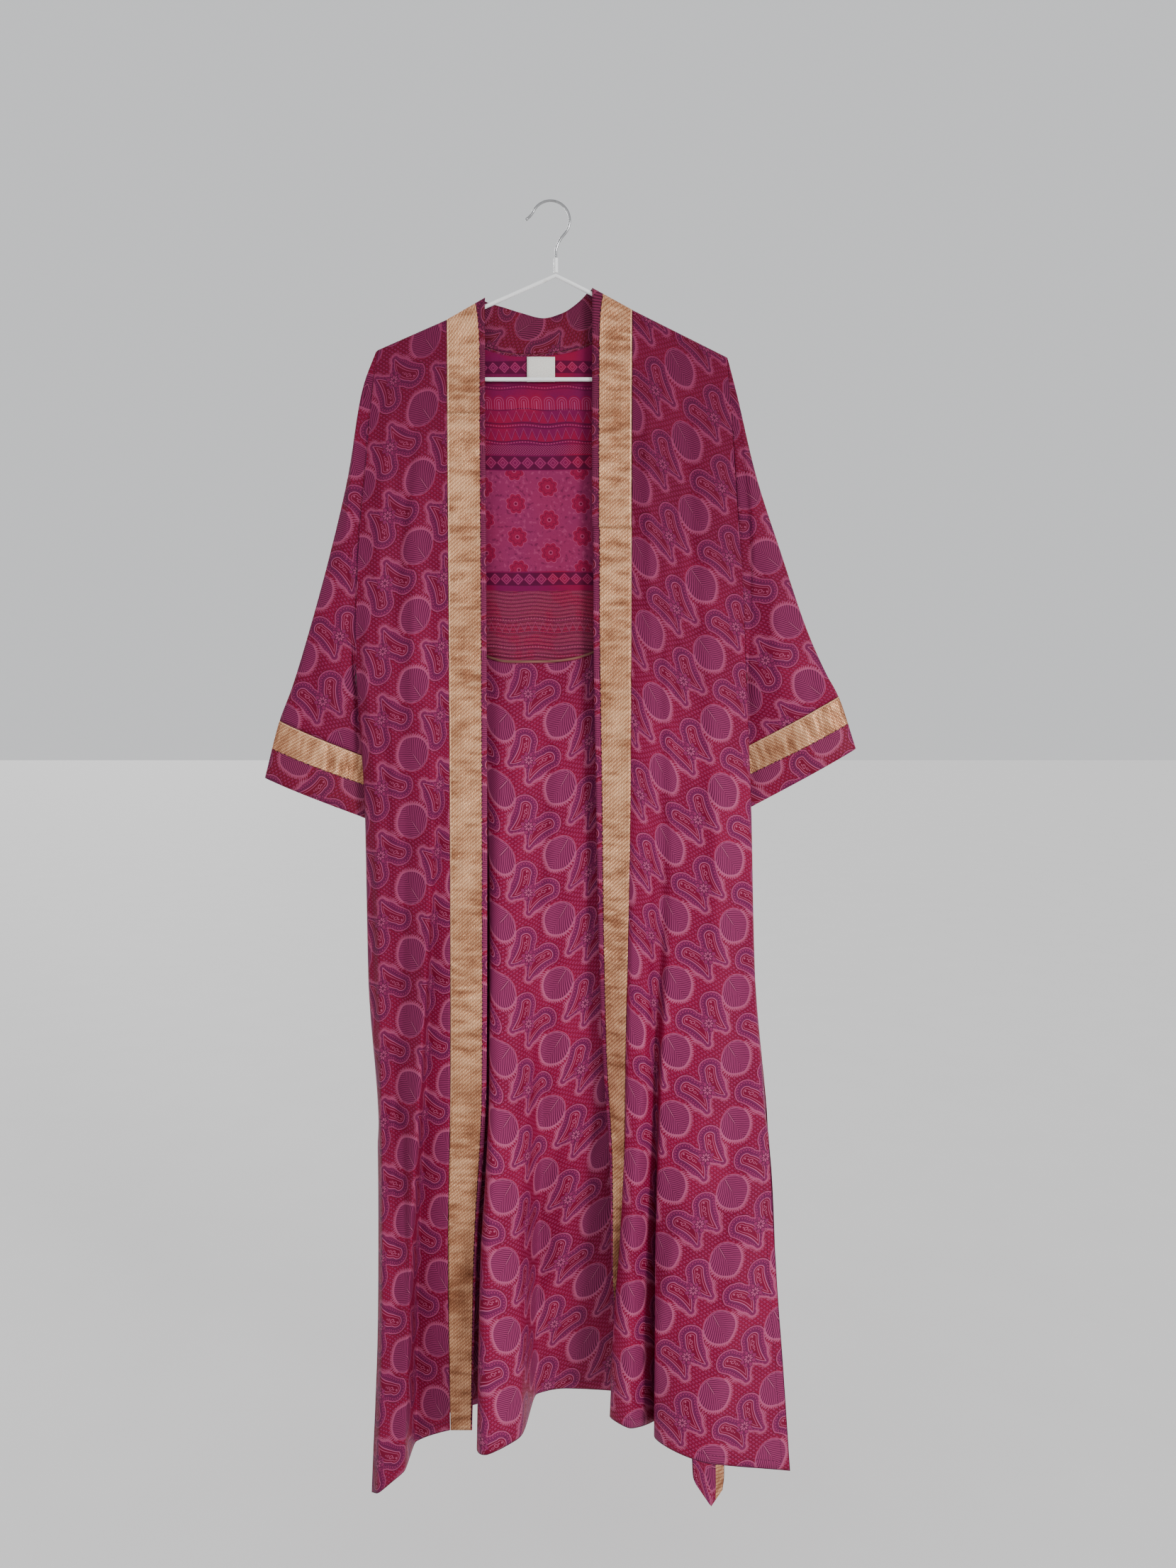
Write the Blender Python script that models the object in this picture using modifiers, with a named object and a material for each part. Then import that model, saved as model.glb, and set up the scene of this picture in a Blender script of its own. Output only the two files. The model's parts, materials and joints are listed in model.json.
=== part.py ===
"""Open silk kimono robe hanging on a coated wire hanger.

Units are metres and +Z is up. The origin is the inner top of the hook, where it rests on its rail
or peg. The robe's front faces -Y, so the wearer's right side lies at -X. Tables are in millimetres.
"""

import math

import bmesh
import bpy
from mathutils import Vector

MM = 0.001

# Driving sizes, in millimetres
CLOTH = 1.2
BAND_CLOTH = 1.6
SEAM_GAP = 0.3
WIRE_RADIUS = 2.4
HOOK_RADIUS = 1.5
DRAPE_RADIUS = WIRE_RADIUS + SEAM_GAP + BAND_CLOTH / 2 + 0.1
BAND_WIDTH = 45.0
CUFF_CLOTH = 1.4

# Hanger: its apex, the slope of each shoulder and the level of the bottom bar
APEX_X, APEX_Z = 5.3, -84.0
SLOPE = {-1: 0.43, 1: 0.49}
SHOULDER_END = {-1: -185.0, 1: 192.0}
BAR_Z = -203.3
NECK_TOP, NECK_RADIUS = -64.0, 2.7

# Robe: where the shoulder seams meet the neckline, and the depth of the back neck
NECK_POINT = {-1: -122.6, 1: 94.8}
NECK_DEPTH = 40.0
NECK_Y = 7.0
CORNER_STEP = 1.1
CORNER_WIDTH = 3 * CORNER_STEP
SIDE_FROM = 190.0
SIDE_ROUND = 5.0
SIDE_SPOTS = (1.2, 4.6)
EDGE_GAP = 0.4

# Fractions of the drop from shoulder to hem
UNDERARM = 0.272
VENT_TOP = 0.68

# Rows of cells: at these angles round the wire, then in each stretch of the drop
ROLL_ANGLES = (0, 35, 65)
ROLLED = len(ROLL_ANGLES)
ARM_ROWS, SIDE_ROWS, VENT_ROWS = 10, 8, 7

# Each row is a section at a fraction of the drop: then x and y of each named line of the cloth.
# Wearer's right front: side edge, swell, dip, lip of the deep fold, its gutter, band seam.
FRONT_RIGHT = (
    (0.00, -203, 0, -187, 0, -171, 0, -155, 0, -139, 0, -122.6, 0),
    (0.03, -209, -5, -191, -4, -174, -4, -157, -4, -140, -4, -122.6, -4),
    (0.10, -219, -5, -200, -7, -181, -6, -162, -7, -142, -6, -122.6, -6),
    (0.18, -229, -5, -209, -8, -187, -6, -164, -9, -143, -6, -122.4, -7),
    (0.272, -233, -3.5, -215, -9, -191, -7, -160, -12, -141, -7, -122.2, -8),
    (0.40, -225, -6, -206, -13, -187, -9, -143, -16, -133, -9, -122.2, -10),
    (0.55, -223, -7, -206, -18, -190, -11, -150, -25, -144, -9, -122.6, -12),
    (0.68, -212, -12, -203, -27, -191, -18, -160, -34, -153, -9, -123.5, -14),
    (0.84, -209, -35, -201, -46, -191, -41, -170, -48, -164, -9, -127.5, -16),
    (1.00, -215, -56, -204, -67, -192, -64, -176, -58, -169, -9, -126, -17),
)
# Wearer's left front: band seam, roll, crest, gutter, lip, swell, side edge.
FRONT_LEFT = (
    (0.00, 94.8, 0, 112, 0, 130, 0, 149, 0, 168, 0, 187, 0, 206, 0),
    (0.03, 94.8, -4, 113, -4, 131, -4, 151, -4, 170, -4, 190, -4, 209, -5),
    (0.10, 94.6, -6, 110, -7, 128, -7, 147, -6, 166, -7, 194, -7, 218, -5),
    (0.18, 94.6, -7, 108, -9, 124, -9, 143, -7, 162, -9, 196, -8, 225, -5),
    (0.272, 94.4, -8, 105, -10, 120, -11, 140, -8, 158, -11, 197, -9, 231, -3.5),
    (0.40, 94.0, -12, 102, -15, 116, -16, 135, -11, 150, -14, 195, -15, 239, -6),
    (0.55, 91.5, -20, 97, -24, 111, -25, 130, -13, 141, -20, 188, -24, 245, -8),
    (0.68, 88.0, -26, 91, -32, 106, -35, 126, -12, 131, -27, 182, -36, 259, -18),
    (0.84, 87.0, -15, 74, -28, 94, -39, 126, -9, 124, -33, 176, -52, 271, -34),
    (1.00, 88.0, -11, 69.6, -28, 91, -43, 127, -6, 122.8, -40, 178, -66, 286, -45),
)
# Back: side edge, shoulder, neck point, edge of the big fold, crest, slope, hollow, swell, flat,
# neck point, shoulder, side edge.
BACK = (
    (0.00, -203, 0, -165, 0, -122.6, 0, -101, 6, -76, 7, -46, 7, -12, 7, 24, 7, 62, 6,
     94.8, 0, 150, 0, 206, 0),
    (0.03, -209, 5, -168, 5, -122.6, 5, -98, 7, -74, 7, -45, 7, -12, 7, 24, 7, 62, 7,
     94.8, 5, 152, 5, 209, 5),
    (0.10, -219, 5, -173, 8, -120, 8, -93, 8, -68, 8, -41, 8, -10, 8, 24, 8, 62, 8,
     100, 8, 156, 8, 218, 5),
    (0.272, -233, 3.5, -178, 8, -110, 9, -84, 10, -62, 8, -36, 9, -9, 10, 22, 8, 60, 10,
     108, 9, 165, 8, 231, 3.5),
    (0.40, -225, 5, -172, 9, -92, 12, -76, 5, -60, 0, -35, 4, -9, 10, 20, 7, 58, 12,
     112, 11, 172, 9, 239, 5),
    (0.55, -223, 5, -168, 11, -81, 14, -75, -4, -62, -9, -36, -2, -8, 11, 20, 8, 60, 15,
     120, 14, 180, 12, 245, 5),
    (0.68, -212, 5, -162, 14, -79, 16, -75, -19, -64, -26, -36, -14, -10, 14, 20, 11, 62, 18,
     126, 17, 190, 14, 261, 4),
    (0.76, -207, 6, -158, 15, -82, 18, -79, -31, -69, -40, -37, -23, -13, 17, 18, 15, 64, 20,
     130, 18, 196, 16, 270, 2),
    (0.84, -205, 8, -156, 17, -87, 20, -85, -43, -74, -54, -38, -34, -16, 20, 16, 20, 66, 22,
     134, 20, 200, 18, 274, 4),
    (1.00, -201, 12, -152, 20, -90, 22, -88, -69, -75, -84, -36, -56, -21, 22, 14, 26, 70, 25,
     140, 23, 204, 21, 267, 14),
)
# Cells between neighbouring lines
FRONT_RIGHT_CELLS = (4, 2, 3, 3, 3)
FRONT_LEFT_CELLS = (2, 3, 3, 2, 3, 5)
BACK_CELLS = (4, 2, 5, 3, 3, 4, 2, 2, 5, 2, 4)
BACK_NECK_CELLS = (2, 8)

# Level of the hem at a few places across
HEM_LEVELS = (
    (-215, -1524), (-150, -1482), (-90, -1462), (-30, -1452), (14, -1446), (70, -1448),
    (125, -1466), (180, -1480), (290, -1506),
)

# Neck piece round the back: x of its seam, then x, y and z of its free edge.
NECKBAND = (
    (-122.6, -79.3, 0.0, -111.0), (-121.5, -79.0, 1.9, -111.2), (-120.4, -78.6, 3.2, -111.5),
    (-119.3, -78.2, 4.1, -111.8), (-112, -76.5, 5.0, -112.5), (-96, -72, 6.0, -114.0),
    (-76, -58, 7.5, -117.5), (-46, -36, 8.2, -124.0), (-12, -10, 8.5, -130.0),
    (24, 13, 8.5, -124.0), (48, 29.5, 8.2, -113.5), (68, 39, 7.0, -105.0), (84, 44, 5.4, -100.0),
    (91.5, 46.4, 4.1, -99.0), (92.6, 46.8, 3.2, -98.8), (93.7, 47.2, 1.9, -98.6),
    (94.8, 47.5, 0.0, -98.5),
)
# Rows below the roll at which the neck piece meets the front bands
NECKBAND_JOIN = {-1: 3, 1: 7}
NECK_RISE = 25.0
BAND_GAP, BAND_TURN_GAP, BAND_CELLS = 0.45, 0.5, 3

# Free edge of each front band, as the section's fraction of the drop and x and y from the seam.
BAND_RIGHT = ((0.0, 45, -1), (0.4, 45, -1), (0.68, 44, -1), (0.84, 35, -1), (1.0, 27, 0))
BAND_LEFT = (
    (0.0, -46, -1), (0.272, -45, 0), (0.40, -42, 6), (0.55, -36, 20), (0.68, -29, 30),
    (0.76, -12, 26), (0.84, 12, 10), (1.0, 30, 3),
)

# Sleeves: fraction of the length, x and z of the outer fold, x, y and z of the underarm line.
SLEEVE_RIGHT = (
    (0.00, -203.4, -166, -233.6, 0, -541),
    (0.12, -222, -215, -237.5, 1, -557),
    (0.28, -240, -313, -240.5, 2, -575),
    (0.45, -263, -405, -240.5, 4, -592),
    (0.65, -290, -498, -238, 6, -612),
    (0.78, -312, -566, -235, 8, -630),
    (0.862, -327, -604, -232, 9, -650),
    (1.00, -346, -673, -227, 10, -726),
)
SLEEVE_LEFT = (
    (0.00, 206.4, -178, 231.6, 0, -541),
    (0.12, 218, -221, 237, 1, -556),
    (0.28, 241, -313, 243, 2, -573),
    (0.45, 272, -405, 245, 4, -590),
    (0.65, 305, -498, 244, 6, -606),
    (0.78, 328, -548, 242, 8, -622),
    (0.862, 343, -575, 240, 9, -640),
    (1.00, 365, -638, 238, 10, -716),
)
SLEEVE_BULGE = 10.0
SLEEVE_ROWS = 10
CUFF_ROWS = 3
CUFF_FROM = 0.862
SLEEVE_DEPTH = 8.5

# What lies on the inside of the back
LINING_SPAN = (3, 8)
LINING_BOTTOM = 0.28
LABEL_LEFT, LABEL_WIDTH, LABEL_TOP, LABEL_HEIGHT = -29.0, 33.0, -176.0, 29.0

# Belt: a row for each station, with x, y, z and width. It hangs by its middle in one loop.
BELT = (
    (197, 29, -1603, 34), (196, 29, -1560, 40), (193, 28.5, -1480, 42), (186, 27, -1300, 42),
    (180, 25, -1100, 42), (176, 22.5, -900, 42), (174, 20, -750, 40), (172, 17, -670, 26),
    (169, 15, -625, 14), (163, 14, -603, 10), (151, 13.4, -594, 9), (139, 14, -603, 10),
    (133, 15, -625, 14), (130, 17, -670, 26), (128, 20, -750, 40), (126, 22.5, -900, 42),
    (125, 25, -1100, 42), (124, 27, -1330, 42),
)
BELT_CLOTH = 1.5
BELT_BUNCH = 1.0
BELT_IN_LOOP = 10
LOOP_CLOTH = 1.0
BELT_LOOP_X = {-1: -165.0, 1: 151.0}
BELT_LOOP_TOP, BELT_LOOP_HEIGHT = -568.0, 52.0


def hermite(keys, values, at):
    """Smooth reading between rows that never swings past its neighbours."""
    if at <= keys[0]:
        return values[0]
    if at >= keys[-1]:
        return values[-1]
    i = max(k for k in range(len(keys) - 1) if keys[k] <= at)
    steps = [
        (values[k + 1] - values[k]) / (keys[k + 1] - keys[k]) for k in range(len(keys) - 1)
    ]

    def slope(k):
        if k == 0:
            return steps[0]
        if k == len(keys) - 1:
            return steps[-1]
        before, after = steps[k - 1], steps[k]
        if before * after <= 0:
            return 0.0
        return 2 * before * after / (before + after)

    span = keys[i + 1] - keys[i]
    u = (at - keys[i]) / span
    start = (1 + 2 * u) * (1 - u) ** 2 * values[i] + u * (1 - u) ** 2 * span * slope(i)
    end = u * u * (3 - 2 * u) * values[i + 1] + u * u * (u - 1) * span * slope(i + 1)
    return start + end


def column(table, place):
    return [row[place] for row in table]


def read(table, at):
    """One row of a table, read smoothly at a value of its first column."""
    keys = column(table, 0)
    return [hermite(keys, column(table, k), at) for k in range(1, len(table[0]))]


def smoothstep(low, high, value):
    u = min(max((value - low) / (high - low), 0.0), 1.0)
    return u * u * (3 - 2 * u)


def wire_z(x):
    """Level of the wire's axis at x, along the two straight shoulders."""
    side = -1 if x < APEX_X else 1
    return APEX_Z - SLOPE[side] * abs(x - APEX_X)


def shoulder_z(x):
    """Level of the middle of the cloth where it rides over the wire."""
    side = -1 if x < APEX_X else 1
    return wire_z(x) + DRAPE_RADIUS * math.sqrt(1 + SLOPE[side] ** 2)


def neckline_z(x):
    """Level of the back's neck edge, a scoop between the two corners behind the wire."""
    left, right = NECK_POINT[-1] + CORNER_WIDTH, NECK_POINT[1] - CORNER_WIDTH
    middle, half = (left + right) / 2, (right - left) / 2
    share = (x - left) / (right - left)
    level = wire_z(left) * (1 - share) + wire_z(right) * share
    return level - NECK_DEPTH * (1 - abs((x - middle) / half) ** 2.6)


def top_z(x):
    if NECK_POINT[-1] + CORNER_WIDTH < x < NECK_POINT[1] - CORNER_WIDTH:
        return neckline_z(x)
    return shoulder_z(x)


def drop_rows():
    """Fractions of the drop at which the panels have their rows, below the roll."""
    rows = [UNDERARM * i / ARM_ROWS for i in range(1, ARM_ROWS + 1)]
    rows += [
        UNDERARM + (VENT_TOP - UNDERARM) * i / SIDE_ROWS for i in range(1, SIDE_ROWS + 1)
    ]
    rows += [VENT_TOP + (1 - VENT_TOP) * i / VENT_ROWS for i in range(1, VENT_ROWS + 1)]
    return rows


def row_drops():
    """The fraction of the drop of every row, the rolled ones included."""
    return [0.0] * ROLLED + drop_rows()


def spots(xs, cells, at):
    """Where a panel's columns lie, counted in lines. They crowd at side edges and neck corners."""
    places = []
    last = len(cells) - 1
    free = smoothstep(0.0, 0.06, at)
    for k, count in enumerate(cells):
        width = abs(xs[k + 1] - xs[k])
        even = [i / count for i in range(count + 1)]
        crowd = [0.0] + [min(d / width, 0.1 * (i + 1)) for i, d in enumerate(SIDE_SPOTS)]
        corner = [i * CORNER_STEP / width for i in range(4)]
        corner += [corner[3] + (1 - corner[3]) * i / (count - 3) for i in range(1, count - 2)]
        if k == 0 and abs(xs[0]) > SIDE_FROM:
            shares = crowd + [0.3 + 0.7 * i / (count - 2) for i in range(1, count - 2)]
        elif k == last and abs(xs[-1]) > SIDE_FROM:
            start = [0.7 * i / (count - 2) for i in range(count - 2)]
            shares = start + [1 - share for share in reversed(crowd[1:])]
        elif len(cells) == len(BACK_CELLS) and k in BACK_NECK_CELLS:
            if k == BACK_NECK_CELLS[1]:
                corner = [1 - share for share in reversed(corner)]
            shares = [a + (b - a) * free for a, b in zip(corner, even)][:-1]
        else:
            shares = even[:-1]
        places += [k + share for share in shares]
    places.append(last + 1)
    return places


def section(table, cells, at):
    """Points (x, y) across a panel at one fraction of the drop, smooth through its lines."""
    values = read(table, at)
    xs, ys = values[0::2], values[1::2]
    keys = list(range(len(xs)))
    return [(hermite(keys, xs, spot), hermite(keys, ys, spot)) for spot in spots(xs, cells, at)]


def round_side(points, at, face):
    """Turns the side edge towards the other panel below the underarm, where the side seam is."""
    turn = smoothstep(UNDERARM, UNDERARM + 0.03, at)
    turn *= 1 - smoothstep(VENT_TOP, VENT_TOP + 0.02, at)
    sides = [p[0] for p in (points[0], points[-1]) if abs(p[0]) > SIDE_FROM]
    out = []
    for x, y in points:
        near = min(abs(x - side) for side in sides)
        share = min(near / SIDE_ROUND, 1.0)
        profile = math.sqrt(1 - (1 - share) ** 2)
        edge = face * EDGE_GAP
        out.append((x, y + (edge + (y - edge) * profile - y) * turn))
    return out


def roll_point(x, y, angle, face):
    """A point where a panel rolls over the wire, or hangs free inside the neck."""
    left, right = NECK_POINT[-1], NECK_POINT[1]
    inside = min(x - left, right - x)
    rise = shoulder_z(x) - DRAPE_RADIUS
    if inside >= CORNER_WIDTH:
        lower = 1 - math.cos(math.radians(angle))
        return (x, face * y, neckline_z(x) - DRAPE_RADIUS * lower)
    share = max(inside, 0.0) / CORNER_WIDTH
    turned = math.radians(90 * share + (90 - 90 * share) * angle / 90)
    deep = max(DRAPE_RADIUS * math.sin(turned), EDGE_GAP)
    sink = share * DRAPE_RADIUS * (1 - math.cos(math.radians(angle)))
    return (x, face * deep, rise + DRAPE_RADIUS * math.cos(turned) - sink)


def panel_rows(table, cells, face):
    """All rows of a body panel. face is -1 for a front and 1 for the back."""
    top = section(table, cells, 0.0)
    hem_keys, hem_values = column(HEM_LEVELS, 0), column(HEM_LEVELS, 1)
    hem = [hermite(hem_keys, hem_values, x) for x, _ in section(table, cells, 1.0)]
    rows = []
    for angle in ROLL_ANGLES:
        rows.append([roll_point(x, neck_depth(x), angle, face) for x, y in top])
    for at in drop_rows():
        row = []
        across = round_side(section(table, cells, at), at, face)
        for (x, y), (x0, _), low in zip(across, top, hem):
            start = top_z(x0)
            row.append((x, y, start + (low - start) * at))
        rows.append(row)
    return rows


def neck_depth(x):
    """How far behind the wire the neck edge of the back lies."""
    inside = min(x - NECK_POINT[-1], NECK_POINT[1] - x)
    return DRAPE_RADIUS + (NECK_Y - DRAPE_RADIUS) * smoothstep(CORNER_WIDTH, 30, inside)


def new_object(name, mesh, material, parts):
    obj = bpy.data.objects.new(name, mesh)
    obj.data.materials.append(material)
    parts.objects.link(obj)
    return obj


def loft(name, rows, thickness, material, parts, closed=False):
    """A cloth wall through rows of points, each row a section. closed joins a row's two ends."""
    bm = bmesh.new()
    grid = [[bm.verts.new(Vector(p) * MM) for p in row] for row in rows]
    count = len(grid[0])
    for upper, lower in zip(grid, grid[1:]):
        for k in range(count if closed else count - 1):
            after = (k + 1) % count
            bm.faces.new((upper[k], lower[k], lower[after], upper[after]))
    bmesh.ops.recalc_face_normals(bm, faces=bm.faces)
    mesh = bpy.data.meshes.new(name)
    bm.to_mesh(mesh)
    bm.free()
    obj = new_object(name, mesh, material, parts)
    wall = obj.modifiers.new("Wall", "SOLIDIFY")
    wall.thickness = thickness * MM
    wall.offset = 0.0
    wall.use_rim = True
    wall.use_quality_normals = True
    return obj


def wire(name, points, radius, material, parts, cyclic=False, sides=2):
    curve = bpy.data.curves.new(name, "CURVE")
    curve.dimensions = "3D"
    curve.bevel_depth = radius * MM
    curve.bevel_resolution = sides
    curve.use_fill_caps = True
    spline = curve.splines.new("POLY")
    spline.points.add(len(points) - 1)
    for point, place in zip(spline.points, points):
        point.co = (*(Vector(place) * MM), 1.0)
    spline.use_cyclic_u = cyclic
    obj = bpy.data.objects.new(name, curve)
    curve.materials.append(material)
    parts.objects.link(obj)
    return obj


def arc(centre, radius, start, end, steps, y=0.0):
    """Points on an arc in the X-Z plane, by angles in degrees from +X towards +Z."""
    points = []
    for i in range(steps + 1):
        a = math.radians(start + (end - start) * i / steps)
        points.append((centre[0] + radius * math.cos(a), y, centre[1] + radius * math.sin(a)))
    return points


def material(name, colour, roughness, metallic=0.0):
    made = bpy.data.materials.new(name)
    made.use_nodes = True
    shader = made.node_tree.nodes["Principled BSDF"]
    shader.inputs["Base Color"].default_value = (*colour, 1.0)
    shader.inputs["Roughness"].default_value = roughness
    shader.inputs["Metallic"].default_value = metallic
    return made


def make_hanger(parts, coat, chrome):
    """Hook, neck sleeve and the closed triangle of wire."""
    bend, centre_x = 22.5, -0.8
    # The hook's inner top is the origin, so its axis passes one wire radius above it
    round_top = arc((centre_x, HOOK_RADIUS - bend), bend, 155, -40, 20)
    tip = [(-27.6, 0, -18.6), (-23.7, 0, -15.3)]
    shank = [(10.8, 0, -42.6), (7.0, 0, -50.0), (5.4, 0, -57.0), (APEX_X, 0, NECK_TOP)]
    wire("hanger_hook", tip + round_top + shank, HOOK_RADIUS, chrome, parts)

    neck_bottom = APEX_Z + WIRE_RADIUS + 2 * SEAM_GAP
    neck = [(APEX_X, 0, NECK_TOP - SEAM_GAP), (APEX_X, 0, neck_bottom)]
    wire("hanger_neck", neck, NECK_RADIUS, coat, parts)

    sides = {}
    for side in (1, -1):
        end_x = SHOULDER_END[side]
        end_z = wire_z(end_x)
        lean = math.atan(SLOPE[side])
        radius = (end_z - BAR_Z) / (1 + math.cos(lean))
        centre = (end_x - side * radius * math.sin(lean), BAR_Z + radius)
        run = [(APEX_X + (end_x - APEX_X) * i / 6, 0, APEX_Z + (end_z - APEX_Z) * i / 6)
               for i in range(1, 6)]
        start = 90 - side * math.degrees(lean)
        sides[side] = run + arc(centre, radius, start, 90 - side * 180, 8)
    outline = [(APEX_X, 0, APEX_Z)] + sides[1] + list(reversed(sides[-1]))
    wire("hanger_frame", outline, WIRE_RADIUS, coat, parts, cyclic=True)


def front_band(name, rows, edge, table, first, material, parts):
    """A front band beside a panel's seam edge, from row first down to the hem."""
    strips = []
    for row, at in list(zip(rows, row_drops()))[first:]:
        x, y, z = row[edge]
        across, deeper = read(table, at)
        gap = BAND_GAP + BAND_TURN_GAP * smoothstep(0.4, 0.6, at)
        strips.append(band_strip((x, y, z), (x + across, y + deeper, z), gap))
    loft(name, strips, BAND_CLOTH, material, parts)


def band_strip(seam, free, gap):
    """Points across a band, from just beside the seam to the free edge."""
    seam, free = Vector(seam), Vector(free)
    start = seam + (free - seam).normalized() * gap
    return [start.lerp(free, i / BAND_CELLS) for i in range(BAND_CELLS + 1)]


def make_neckband(rows_right, rows_left, back, silk, parts):
    """The neck piece: down the right front, round the back neck and down the left front."""
    down_right = front_neck_strips(rows_right, -1, ROLLED + NECKBAND_JOIN[-1] - 1, BAND_WIDTH)
    down_left = front_neck_strips(rows_left, 0, ROLLED + NECKBAND_JOIN[1] - 1, -BAND_WIDTH - 2)
    strips = down_right[::-1]
    first, last = (sum(BACK_CELLS[:k]) for k in (BACK_NECK_CELLS[0], BACK_NECK_CELLS[1] + 1))
    for x, y, z in back[0][first: last + 1]:
        inward = 1 if x < 0 else -1
        inside = min(x - NECK_POINT[-1], NECK_POINT[1] - x)
        if inside < CORNER_STEP / 2:
            y = 0
        beside = BAND_GAP * (1 - smoothstep(CORNER_WIDTH, 30, inside))
        over = BAND_GAP * smoothstep(0, CORNER_WIDTH * 2, inside)
        seam = (x + inward * beside, y, z + over)
        strips.append(band_strip(seam, read(NECKBAND, x), SEAM_GAP / 2))
    loft("neckband_back", strips + down_left, BAND_CLOTH, silk, parts)


def front_neck_strips(rows, edge, join, across):
    """The neck piece down one front, from the shoulder to its join with the front band."""
    strips = []
    for row in rows[1: join + 1]:
        x, y, z = row[edge]
        rise = NECK_RISE * math.exp(-(shoulder_z(x) - z) / NECK_RISE)
        strips.append(band_strip((x, y, z), (x + across, y - 1, z + rise), BAND_GAP))
    strips[-1] = [p + Vector((0, 0, SEAM_GAP)) for p in strips[-1]]
    return strips


def sleeve_loops(table, front_edge, back_edge, side):
    """Closed loops from the armhole to the cuff. The edges give the armhole's own points."""
    drops = [abs(p[2] - front_edge[0][2]) for p in front_edge]
    depth = drops[-1]
    stations = [i * CUFF_FROM / SLEEVE_ROWS for i in range(1, SLEEVE_ROWS + 1)]
    stations += [CUFF_FROM + (1 - CUFF_FROM) * i / CUFF_ROWS for i in range(1, CUFF_ROWS + 1)]
    gaps = [side * (0.55 + 0.8 * (drop / depth) ** 2) for drop in drops]
    front = [(x + gap, y, z) for gap, (x, y, z) in zip(gaps, front_edge)]
    back = [(x + gap, y, z) for gap, (x, y, z) in zip(gaps, back_edge)]
    under = (front[-1][0] + side, 0, front[-1][2] - 2.5)
    loops = [front + [under] + back[::-1]]
    for u in stations:
        fold_x, fold_z, under_x, under_y, under_z = read(table, u)
        width = math.hypot(under_x - fold_x, under_z - fold_z)
        bulge = side * SLEEVE_BULGE * smoothstep(0, 0.12, u) * (1 - u)
        front, back = [], []
        for drop in drops:
            reach = drop
            if drop > DRAPE_RADIUS:
                share = (drop - DRAPE_RADIUS) / (depth - DRAPE_RADIUS)
                reach = DRAPE_RADIUS + (width - DRAPE_RADIUS) * share
            w = reach / width
            swell = SLEEVE_DEPTH * math.sin(math.pi * min(w * 1.15, 1)) ** 0.8
            half = DRAPE_RADIUS + swell * smoothstep(0, 0.25, u) * (1 - 0.35 * w)
            low = smoothstep(0.93, 1.0, w)
            half = half * (1 - low) + 2.8 * low
            if drop <= DRAPE_RADIUS:
                half = max(math.sqrt(max(2 * DRAPE_RADIUS * drop - drop * drop, 0)), EDGE_GAP)
            x = fold_x + (under_x - fold_x) * w + bulge * math.sin(math.pi * w)
            z = fold_z + (under_z - fold_z) * w
            middle = 6 * u + (under_y - 6 * u) * smoothstep(0.1, 1.0, w)
            front.append((x, middle - half, z))
            back.append((x, middle + half, z))
        loops.append(front + [(under_x, under_y, under_z - 2.5)] + back[::-1])
    return loops


def make_sleeve(name, cuff_name, table, front_edge, back_edge, side, silk, trim, parts):
    loops = sleeve_loops(table, front_edge, back_edge, side)
    loft(name, loops[: SLEEVE_ROWS + 1], CLOTH, silk, parts, closed=True)
    start = []
    for p, q in zip(loops[SLEEVE_ROWS], loops[SLEEVE_ROWS + 1]):
        step = Vector(q) - Vector(p)
        start.append(tuple(Vector(p) + step.normalized() * BAND_GAP))
    loft(cuff_name, [start] + loops[SLEEVE_ROWS + 1:], CUFF_CLOTH, trim, parts, closed=True)


def lifted(point, out):
    return (point[0], point[1] - out, point[2])


def make_lining(back, silk, parts):
    """A patch on the inside of the back, made from the back's own points, moved out."""
    offset = CLOTH / 2 + SEAM_GAP + 0.5
    first = sum(BACK_CELLS[: LINING_SPAN[0]])
    last = sum(BACK_CELLS[: LINING_SPAN[1]])
    rows = []
    for row, at in zip(back[ROLLED - 1:], row_drops()[ROLLED - 1:]):
        if at > LINING_BOTTOM:
            break
        rows.append([lifted(p, offset) for p in row[first: last + 1]])
    loft("back_lining", rows, 1.0, silk, parts)


def make_label(linen, parts):
    y = NECK_Y - (CLOTH / 2 + SEAM_GAP + 1.0) - SEAM_GAP - 0.7
    rows = []
    for i in range(4):
        z = LABEL_TOP - LABEL_HEIGHT * i / 3
        rows.append([(LABEL_LEFT + LABEL_WIDTH * k / 3, y - 0.3 * math.sin(math.pi * k / 3), z)
                     for k in range(4)])
    loft("neck_label", rows, 1.0, linen, parts)


def make_belt(silk, parts):
    steps = 5
    rows = []
    keys = list(range(len(BELT)))
    for i in range((len(BELT) - 1) * steps + 1):
        at = i / steps
        x, y, z, width = (hermite(keys, column(BELT, k), at) for k in range(4))
        ahead = min(at + 0.05, keys[-1])
        behind = max(at - 0.05, 0)
        dx = hermite(keys, column(BELT, 0), ahead) - hermite(keys, column(BELT, 0), behind)
        dz = hermite(keys, column(BELT, 2), ahead) - hermite(keys, column(BELT, 2), behind)
        length = math.hypot(dx, dz)
        across = (dz / length, -dx / length)
        bunch = BELT_BUNCH * (1 - smoothstep(14, 36, width))
        row = []
        for k in (-1, 0, 1):
            row.append((x + across[0] * k * width / 2, y - bunch * (1 - abs(k)),
                        z + across[1] * k * width / 2))
        rows.append(row)
    loft("belt", rows, BELT_CLOTH, silk, parts)


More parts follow.
